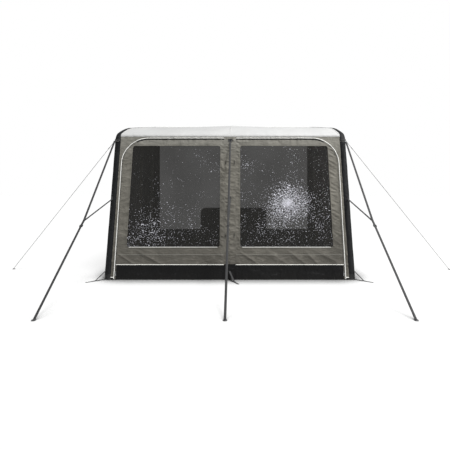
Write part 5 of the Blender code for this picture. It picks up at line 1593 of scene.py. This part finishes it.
def strap_mesh(laid, path, thickness, width=STRAP_WIDTH):
    """Webbing along a side-view path of 2-D points, its width across the awning."""
    section = strap_section(width, thickness, -thickness / 2)
    points, places, travelled = [], [], 0.0
    for i, p in enumerate(path):
        along = (path[min(i + 1, len(path) - 1)] - path[max(i - 1, 0)]).normalized()
        travelled += (p - path[i - 1]).length if i else 0
        for x, lift in section:
            spot = p - lift * left_of(along)
            points.append(laid(x, spot.x, spot.y))
            places.append((x, travelled))
    return shell(points, lofted(0, len(path), len(section)), places)


def span(points):
    """The length of a run of points."""
    return sum((b - a).length for a, b in zip(points, points[1:]))


def make_strap(word, side):
    """A storm strap with its sewn eyes, buckle, peg ring and stitching; its anchor and branch are made apart."""
    laid, thick = strap_place(side), STRAP_THICKNESS
    top, low = EYE_INNER + thick * 0.45, PEG_EYE_INNER + thick * 0.45
    spine = resampled([TOP_BAR + UPPER * (top + 0.006), JUNCTION, PEG_BAR - LOWER * (low + 0.006)], WEB_STEP, False)
    parts = [strap_mesh(laid, spine, thick)]
    # A sewn eye round each bar: from the strap's line, round the bar and back beside the strap. It starts and
    # ends a tuck of so many radians from that line
    tuck = 0.45
    for centre, radius, toward in ((TOP_BAR, top, UPPER), (PEG_BAR, low, -LOWER)):
        bearing = math.atan2(toward.y, toward.x)
        tail, beside = centre + toward * (radius + 0.006), left_of(toward) * thick
        eye = [centre + radius * Vector((math.cos(bearing + a), math.sin(bearing + a)))
               for a in steps(2 * math.pi - tuck, tuck, 14)]
        lap = resampled([tail - beside, tail - beside + toward * 0.055], WEB_STEP, False)
        parts.append(strap_mesh(laid, [tail + beside * 0.1] + eye + lap, thick * 0.9, STRAP_WIDTH - 0.001))
    strap = finished(f"storm_webbing_{word}", joined_mesh(parts), "canopy", WEB, "webbing", f"storm_strap_{word}")
    line = [laid(0, p.x, p.y) for p in [TOP_BAR] + spine + [PEG_BAR]]
    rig.cord(strap, exit=line[0], length=span(line), diameter=STRAP_WIDTH, far_end="fitting", stiffness="limp",
            lay="taut", path=line, with_pieces=[make_ring(word, laid), make_buckle(word, laid)])
    crosses = []
    for centre, along, out, spots in ((TOP_BAR, UPPER, left_of(UPPER), (0.020, 0.048)),
                                      (PEG_BAR, -LOWER, left_of(LOWER), (0.020, 0.050)),
                                      (JUNCTION, LOWER, left_of(LOWER), (0.012, 0.040))):
        p, q = (centre + along * spot - out * (thick / 2 + 0.0002) for spot in spots)
        crosses += [[laid(x, spot.x, spot.y) for x in (-0.009, 0, 0.009)] for spot in (p, q)]
        crosses += [[laid(x, p.x, p.y), laid(-x, q.x, q.y)] for x in (-0.009, 0.009)]
    bars_along(f"strap_stitches_{word}", "canopy", THREAD, "webbing", crosses, Vector((0, UPPER.y, -UPPER.x)),
               STRAP_STITCH)


def make_branch(word, side):
    """The short strap from the wall to the storm strap, sewn on below the junction."""
    stand = 0.0045
    if side:
        aside = corner_x(ANCHOR_HEIGHT) + STRAP_SIDE_OFFSET - STRAP_WIDTH / 2 - corner_x(BRANCH_HEIGHT)
        aside += STRAP_SPLAY * (BAR_Y - front_y(BRANCH_HEIGHT))
        stand = math.sqrt(SLEEVE_RADIUS ** 2 - min(0, aside) ** 2) - SLEEVE_INSET + JOIN_GAP
    stand = stand / math.cos(FRONT_LEAN) + STRAP_THICKNESS / 2
    top = BRANCH_HEIGHT + BRANCH_TAIL
    beside = JUNCTION + left_of(LOWER) * (STRAP_THICKNESS + GAP)
    corners = [corner(front_y(top) - stand, top), corner(front_y(BRANCH_HEIGHT) - stand, BRANCH_HEIGHT, 0.02),
               (beside + LOWER * BRANCH_LAP / 3, 0.02), (beside + LOWER * BRANCH_LAP, 0)]
    path, laid = resampled(rounded(corners, 6, closed=False), WEB_STEP, False), strap_place(side)
    branch = finished(f"branch_webbing_{word}", strap_mesh(laid, path, STRAP_THICKNESS), "canopy", WEB, "webbing",
                      f"strap_branch_{word}")
    line = [laid(0, p.x, p.y) for p in path]
    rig.cord(branch, exit=line[0], length=span(line), diameter=STRAP_WIDTH, far_end="object", stiffness="limp",
            lay="taut", path=line)


def make_ring(word, laid):
    """The steel D ring that the ground peg goes through."""
    centre = laid(0, PEG_BAR.x, PEG_BAR.y)
    tilt = math.asin((PEG_BAR_Z - PEG_ROD) / (PEG_SHANK + PEG_HALF_WIDTH))
    out = Vector((0, -math.cos(tilt), -math.sin(tilt)))
    wide, shank = PEG_HALF_WIDTH * ACROSS, PEG_SHANK * out
    route = rounded([(centre + wide + shank, 0), (centre + wide, PEG_CORNER_RADIUS),
                     (centre - wide, PEG_CORNER_RADIUS), (centre - wide + shank, 0)], 6, closed=False)
    route += [centre + shank - math.cos(turn) * wide + math.sin(turn) * PEG_HALF_WIDTH * out
              for turn in steps(0, math.pi, 24)[1:-1]]
    mesh = drawn_mesh([(route, ACROSS.cross(out))], round_section(PEG_ROD, 14), True)
    return finished(f"steel_peg_ring_{word}", mesh, f"peg_ring_{word}", RING, "steel", f"peg_ring_{word}")


def make_buckle(word, laid):
    """A ladder buckle with rounded rails and bars."""
    start = JUNCTION + LOWER * BUCKLE_DISTANCE

    def place(across, along, over):
        spot = start + along * LOWER - over * left_of(LOWER)
        return laid(across, spot.x, spot.y)
    near, inside = STRAP_THICKNESS / 2 + JOIN_GAP, STRAP_WIDTH / 2 + JOIN_GAP
    far, outside = near + BUCKLE_BAR, inside + BUCKLE_RAIL
    parts = [block_mesh(place, (low, 0, -far), (high, BUCKLE_LENGTH, far), 0.0009)
             for low, high in ((-outside, -inside), (inside, outside))]
    reach = (inside + outside) / 2
    for along, low, high in ((0.0004, -far, -near), (BUCKLE_LENGTH / 2 - BUCKLE_BAR / 2, near, far),
                             (BUCKLE_LENGTH - BUCKLE_BAR - 0.0004, -far, -near)):
        parts.append(block_mesh(place, (-reach, along, low + 0.0002), (reach, along + BUCKLE_BAR, high - 0.0002),
                                0.0008))
    return finished(f"ladder_buckle_{word}", joined_mesh(parts), f"strap_buckle_{word}", PLASTIC,
                    "moulded_plastic", f"strap_buckle_{word}")


def make_anchor(word, side):
    """The sewn webbing patch at the eave, with the steel loop through it."""
    laid, centre = strap_place(side), leg_centre(side, ANCHOR_HEIGHT, SLEEVE_INSET)
    bar = [laid(x, TOP_BAR.x, TOP_BAR.y) for x in (-LOOP_HALF_WIDTH, LOOP_HALF_WIDTH)]
    inner = SLEEVE_RADIUS / math.cos(FRONT_LEAN) + GAP
    heights = (BAR_HEIGHT + 0.004, BAR_HEIGHT + ANCHOR_TALL - 0.004)
    if side:
        def at(turn, height, out):
            way = -math.cos(turn) * BACK + side * math.sin(turn) * ACROSS
            return leg_centre(side, height, SLEEVE_INSET) + (inner + out) * way
        turns = steps(ANCHOR_START, ANCHOR_START + ANCHOR_SWEEP, 30)
        path = [at(turn, ANCHOR_HEIGHT, ANCHOR_CLOTH / 2) for turn in turns]
        outs = [at(turn, ANCHOR_HEIGHT, 1) - at(turn, ANCHOR_HEIGHT, 0) for turn in turns]
        section = strap_section(ANCHOR_TALL, ANCHOR_CLOTH * 0.8, -ANCHOR_CLOTH * 0.4)
        rows = [[at(turn, height, ANCHOR_CLOTH + 0.0003) for turn in turns] for height in heights]
        roots = [centre.y - math.sqrt(max(0, (inner + ANCHOR_CLOTH / 2) ** 2 - (end.x - centre.x) ** 2))
                 for end in bar]
    else:
        def at(x, height, out):
            return on_front(x, height, out + front_slack(x, height))
        path = [at(x, ANCHOR_HEIGHT, 0.0012) for x in steps(-ANCHOR_HALF_WIDTH, ANCHOR_HALF_WIDTH, 8)]
        outs, section = FRONT_OUT, strap_section(ANCHOR_TALL, ANCHOR_CLOTH)
        rows = [[at(x, height, 0.0046) for x in steps(-ANCHOR_HALF_WIDTH + 0.003, ANCHOR_HALF_WIDTH - 0.003, 4)]
                for height in heights]
        roots = [front_y(ANCHOR_HEIGHT) - GAP - ANCHOR_CLOTH / 2] * 2
    finished(f"eave_patch_{word}", drawn_mesh([(path, outs)], section), "canopy", WEB, "webbing",
             f"eave_anchor_{word}")
    roots = [Vector((end.x, y, ANCHOR_HEIGHT)) for end, y in zip(bar, roots)]
    route = rounded([(roots[0], 0), (bar[0], LOOP_ROD * 2), (bar[1], LOOP_ROD * 2), (roots[1], 0)], 8, closed=False)
    trim(f"eave_loop_{word}", "canopy", STEEL, "steel", [(route, UP)], round_section(LOOP_ROD, 12))
    bars_along(f"patch_stitches_{word}", "canopy", PALE_THREAD, "webbing", rows, FRONT_OUT, PATCH_STITCH)


# Guy ropes and ground straps

def make_rope(word, side):
    """A guy rope with its peg loop, whipping and runner."""
    end = Vector((side * ROPE_PEG_X, FRONT_Y + ROPE_PEG_Y, ROPE_RADIUS + GAP))
    aside = side * ACROSS
    flank = leg_centre(side, ANCHOR_HEIGHT, SLEEVE_INSET) + (SLEEVE_RADIUS + GAP + ANCHOR_CLOTH) * aside
    direction = (end - flank).normalized()
    start = flank + (GAP + ROPE_RADIUS * math.sqrt(1 - direction.x ** 2)) * aside
    flat = Vector((end.x - start.x, end.y - start.y, 0)).normalized()
    turned = flat.cross(UP)
    route = [start.lerp(end, share) for share in steps(0, 1, 60)]
    route += [end + ROPE_LOOP_RADIUS * ((1 - math.cos(t)) * turned + math.sin(t) * flat)
              for t in steps(0, 2 * math.pi * ROPE_LOOP_SHARE, 24)[1:]]
    curve = bpy.data.curves.new("rope", "CURVE")
    curve.dimensions = "3D"
    spline = curve.splines.new("POLY")
    spline.points.add(len(route) - 1)
    for spot, point in zip(spline.points, route):
        spot.co = (*point, 1)
    curve.bevel_depth = ROPE_SURFACE
    curve.bevel_resolution = 3
    curve.use_fill_caps = True
    rope = finished(f"guy_line_{word}", curve, "canopy", ROPE, "rope", f"guy_rope_{word}")
    along = (end - start).normalized()
    whipping = turned_mesh(end - along * 0.016, along, [
        (0.0022, -0.004), (0.0036, -0.003), (0.0038, 0), (0.0034, 0.002), (0.0038, 0.004), (0.0034, 0.006),
        (0.0038, 0.008), (0.0036, 0.011), (0.0022, 0.012)], 16)
    knot = finished(f"guy_whipping_{word}", whipping, "canopy", ROPE, "rope")
    across = along.cross(UP).normalized()
    rings = [ring(start + (RUNNER_DISTANCE + reach) * along, wide * across, thick * across.cross(along), 28)
             for reach, wide, thick in (
                 (0, 0.0026, 0.0026), (0, 0.0046, 0.0036), (0.003, 0.006, 0.0045), (0.012, 0.0048, 0.0042),
                 (0.024, 0.0048, 0.0042), (0.033, 0.006, 0.0045), (RUNNER_LENGTH, 0.0046, 0.0036),
                 (RUNNER_LENGTH, 0.0026, 0.0026))]
    runner = finished(f"rope_runner_{word}", ring_mesh(rings, True), f"guy_runner_{word}", PLASTIC,
                      "moulded_plastic", f"guy_runner_{word}")
    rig.cord(rope, exit=start, length=span(route), diameter=2 * ROPE_SURFACE, far_end="knot", stiffness="limp",
            lay="taut", with_pieces=[knot, runner])


def make_tail(word, side):
    """A webbing tail from a beam's foot to its peg eyelet, with the leg that draws the foot down."""
    bearing = CORNER_TAIL_BEARING if side else CENTRE_TAIL_BEARING
    toward = Vector(((side or 1) * math.cos(bearing), math.sin(bearing), 0))
    across = UP.cross(toward)
    recede = math.tan(FRONT_LEAN) * abs(toward.y)
    if side:
        start = leg_centre(side, 0, SLEEVE_INSET) + (SLEEVE_RADIUS + GAP) * toward
        recede += CORNER_TAPER * abs(toward.x)
    else:
        clear = (JOIN_GAP + STRAP_WIDTH / 2 * abs(toward.x)) / abs(toward.y)
        start = Vector((0, FRONT_Y, 0)) + clear * toward

    def laid(x, reach, height):
        return start + reach * toward + height * UP + x * across
    thick = TAIL_THICKNESS
    mid = thick / 2
    ground = resampled([Vector((0.002, mid)), Vector((TAIL_LENGTH, mid))], WEB_STEP, False)
    sloped = rounded([corner(-TAIL_LEG_HEIGHT * recede, TAIL_LEG_HEIGHT + mid),
                      corner(TAIL_JOIN, thick * 1.35, 0.03), corner(TAIL_JOIN + 0.03, thick * 1.35)], 6, closed=False)
    tail = finished(f"ground_webbing_{word}", strap_mesh(laid, ground, thick * 0.9), "canopy", WEB, "webbing",
                    f"ground_strap_{word}")
    leg = finished(f"foot_webbing_{word}", strap_mesh(laid, resampled(sloped, WEB_STEP, False), thick * 0.7),
                   "canopy", WEB, "webbing")
    spot = laid(0, TAIL_LENGTH - EYELET_EDGE, 0)
    rings = [ring(spot + height * UP, EYELET_RADIUS * share * toward, EYELET_RADIUS * share * across, 32)
             for share, height in ((0.75, thick), (1, thick + 0.0012), (1.5, thick + 0.0012),
                                   (1.75, thick - 0.0002), (1.6, 0.0002), (0.75, 0.0002))]
    eyelet = finished(f"ground_eyelet_{word}", ring_mesh(rings, True), "canopy", BRASS, "steel")
    line = [laid(0, p.x, p.y) for p in ground]
    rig.cord(tail, exit=line[0], length=TAIL_LENGTH, diameter=STRAP_WIDTH, far_end="fitting", stiffness="limp",
            lay="taut", path=line, with_pieces=[eyelet, leg])


# Toggles

def make_toggle(number, x, z):
    """A toggle in its elastic loop on the middle strip, which holds a rolled panel."""
    slack = front_slack(x, z)
    rod = turned_mesh(on_front(x, z, slack + 0.007) - 0.016 * UP_WALL, UP_WALL, [
        (0.0015, 0), (0.0045, 0.001), (0.0052, 0.005), (0.0036, 0.011), (0.0032, 0.016), (0.0036, 0.021),
        (0.0052, 0.027), (0.0045, 0.031), (0.0015, 0.032)], 20)
    finished(f"toggle_{number}", rod, "canopy", PLASTIC, "moulded_plastic")
    left, right = (on_front(x + turn * 0.004, z + 0.020, slack + 0.0012) for turn in (-1, 1))
    top, tail, rise = on_front(x, z, slack + 0.0115), 0.02 * UP_WALL, 0.001 * FRONT_OUT
    path = [left + tail, left, left.lerp(top, 0.6) + rise, top, right.lerp(top, 0.6) + rise, right, right + tail]
    trim(f"toggle_cord_{number}", "canopy", ROPE, "rope", [(path, FRONT_OUT)], round_section(0.0014, 8))


make_front()
make_roof()
make_rear()
for word, side in SIDES:
    make_side(word, side)
    make_sleeve(word, side)
    make_pad(word, side)
    make_rope(word, side)
for word, side in ALL_THREE:
    make_beam(word, side)
    make_strap(word, side)
    make_branch(word, side)
    make_anchor(word, side)
    make_tail(word, side)
for number, (x, z) in enumerate(((-0.058, 1.54), (0.058, 1.54), (-0.058, 0.56), (0.058, 0.56))):
    make_toggle(number, x, z)
# The solids that stay get the real materials
kept = [("keder_bead", PIPING)] + [(f"front_zip_pull_{word}", STEEL) for word, _ in SIDES]
kept += [(f"{name}_{word}", PLASTIC) for word, _ in ALL_THREE for name in ("valve", "valve_cap")]
for node, finish in kept:
    NODES[node].data.materials.clear()
    NODES[node].data.materials.append(finish)

view = bpy.context.scene.view_settings
view.view_transform = "Standard"
low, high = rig.bounds()
with open("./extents.json", "w") as f:
    json.dump({"cad": [list(cad_low), list(cad_high)], "visual": [list(low), list(high)]}, f)
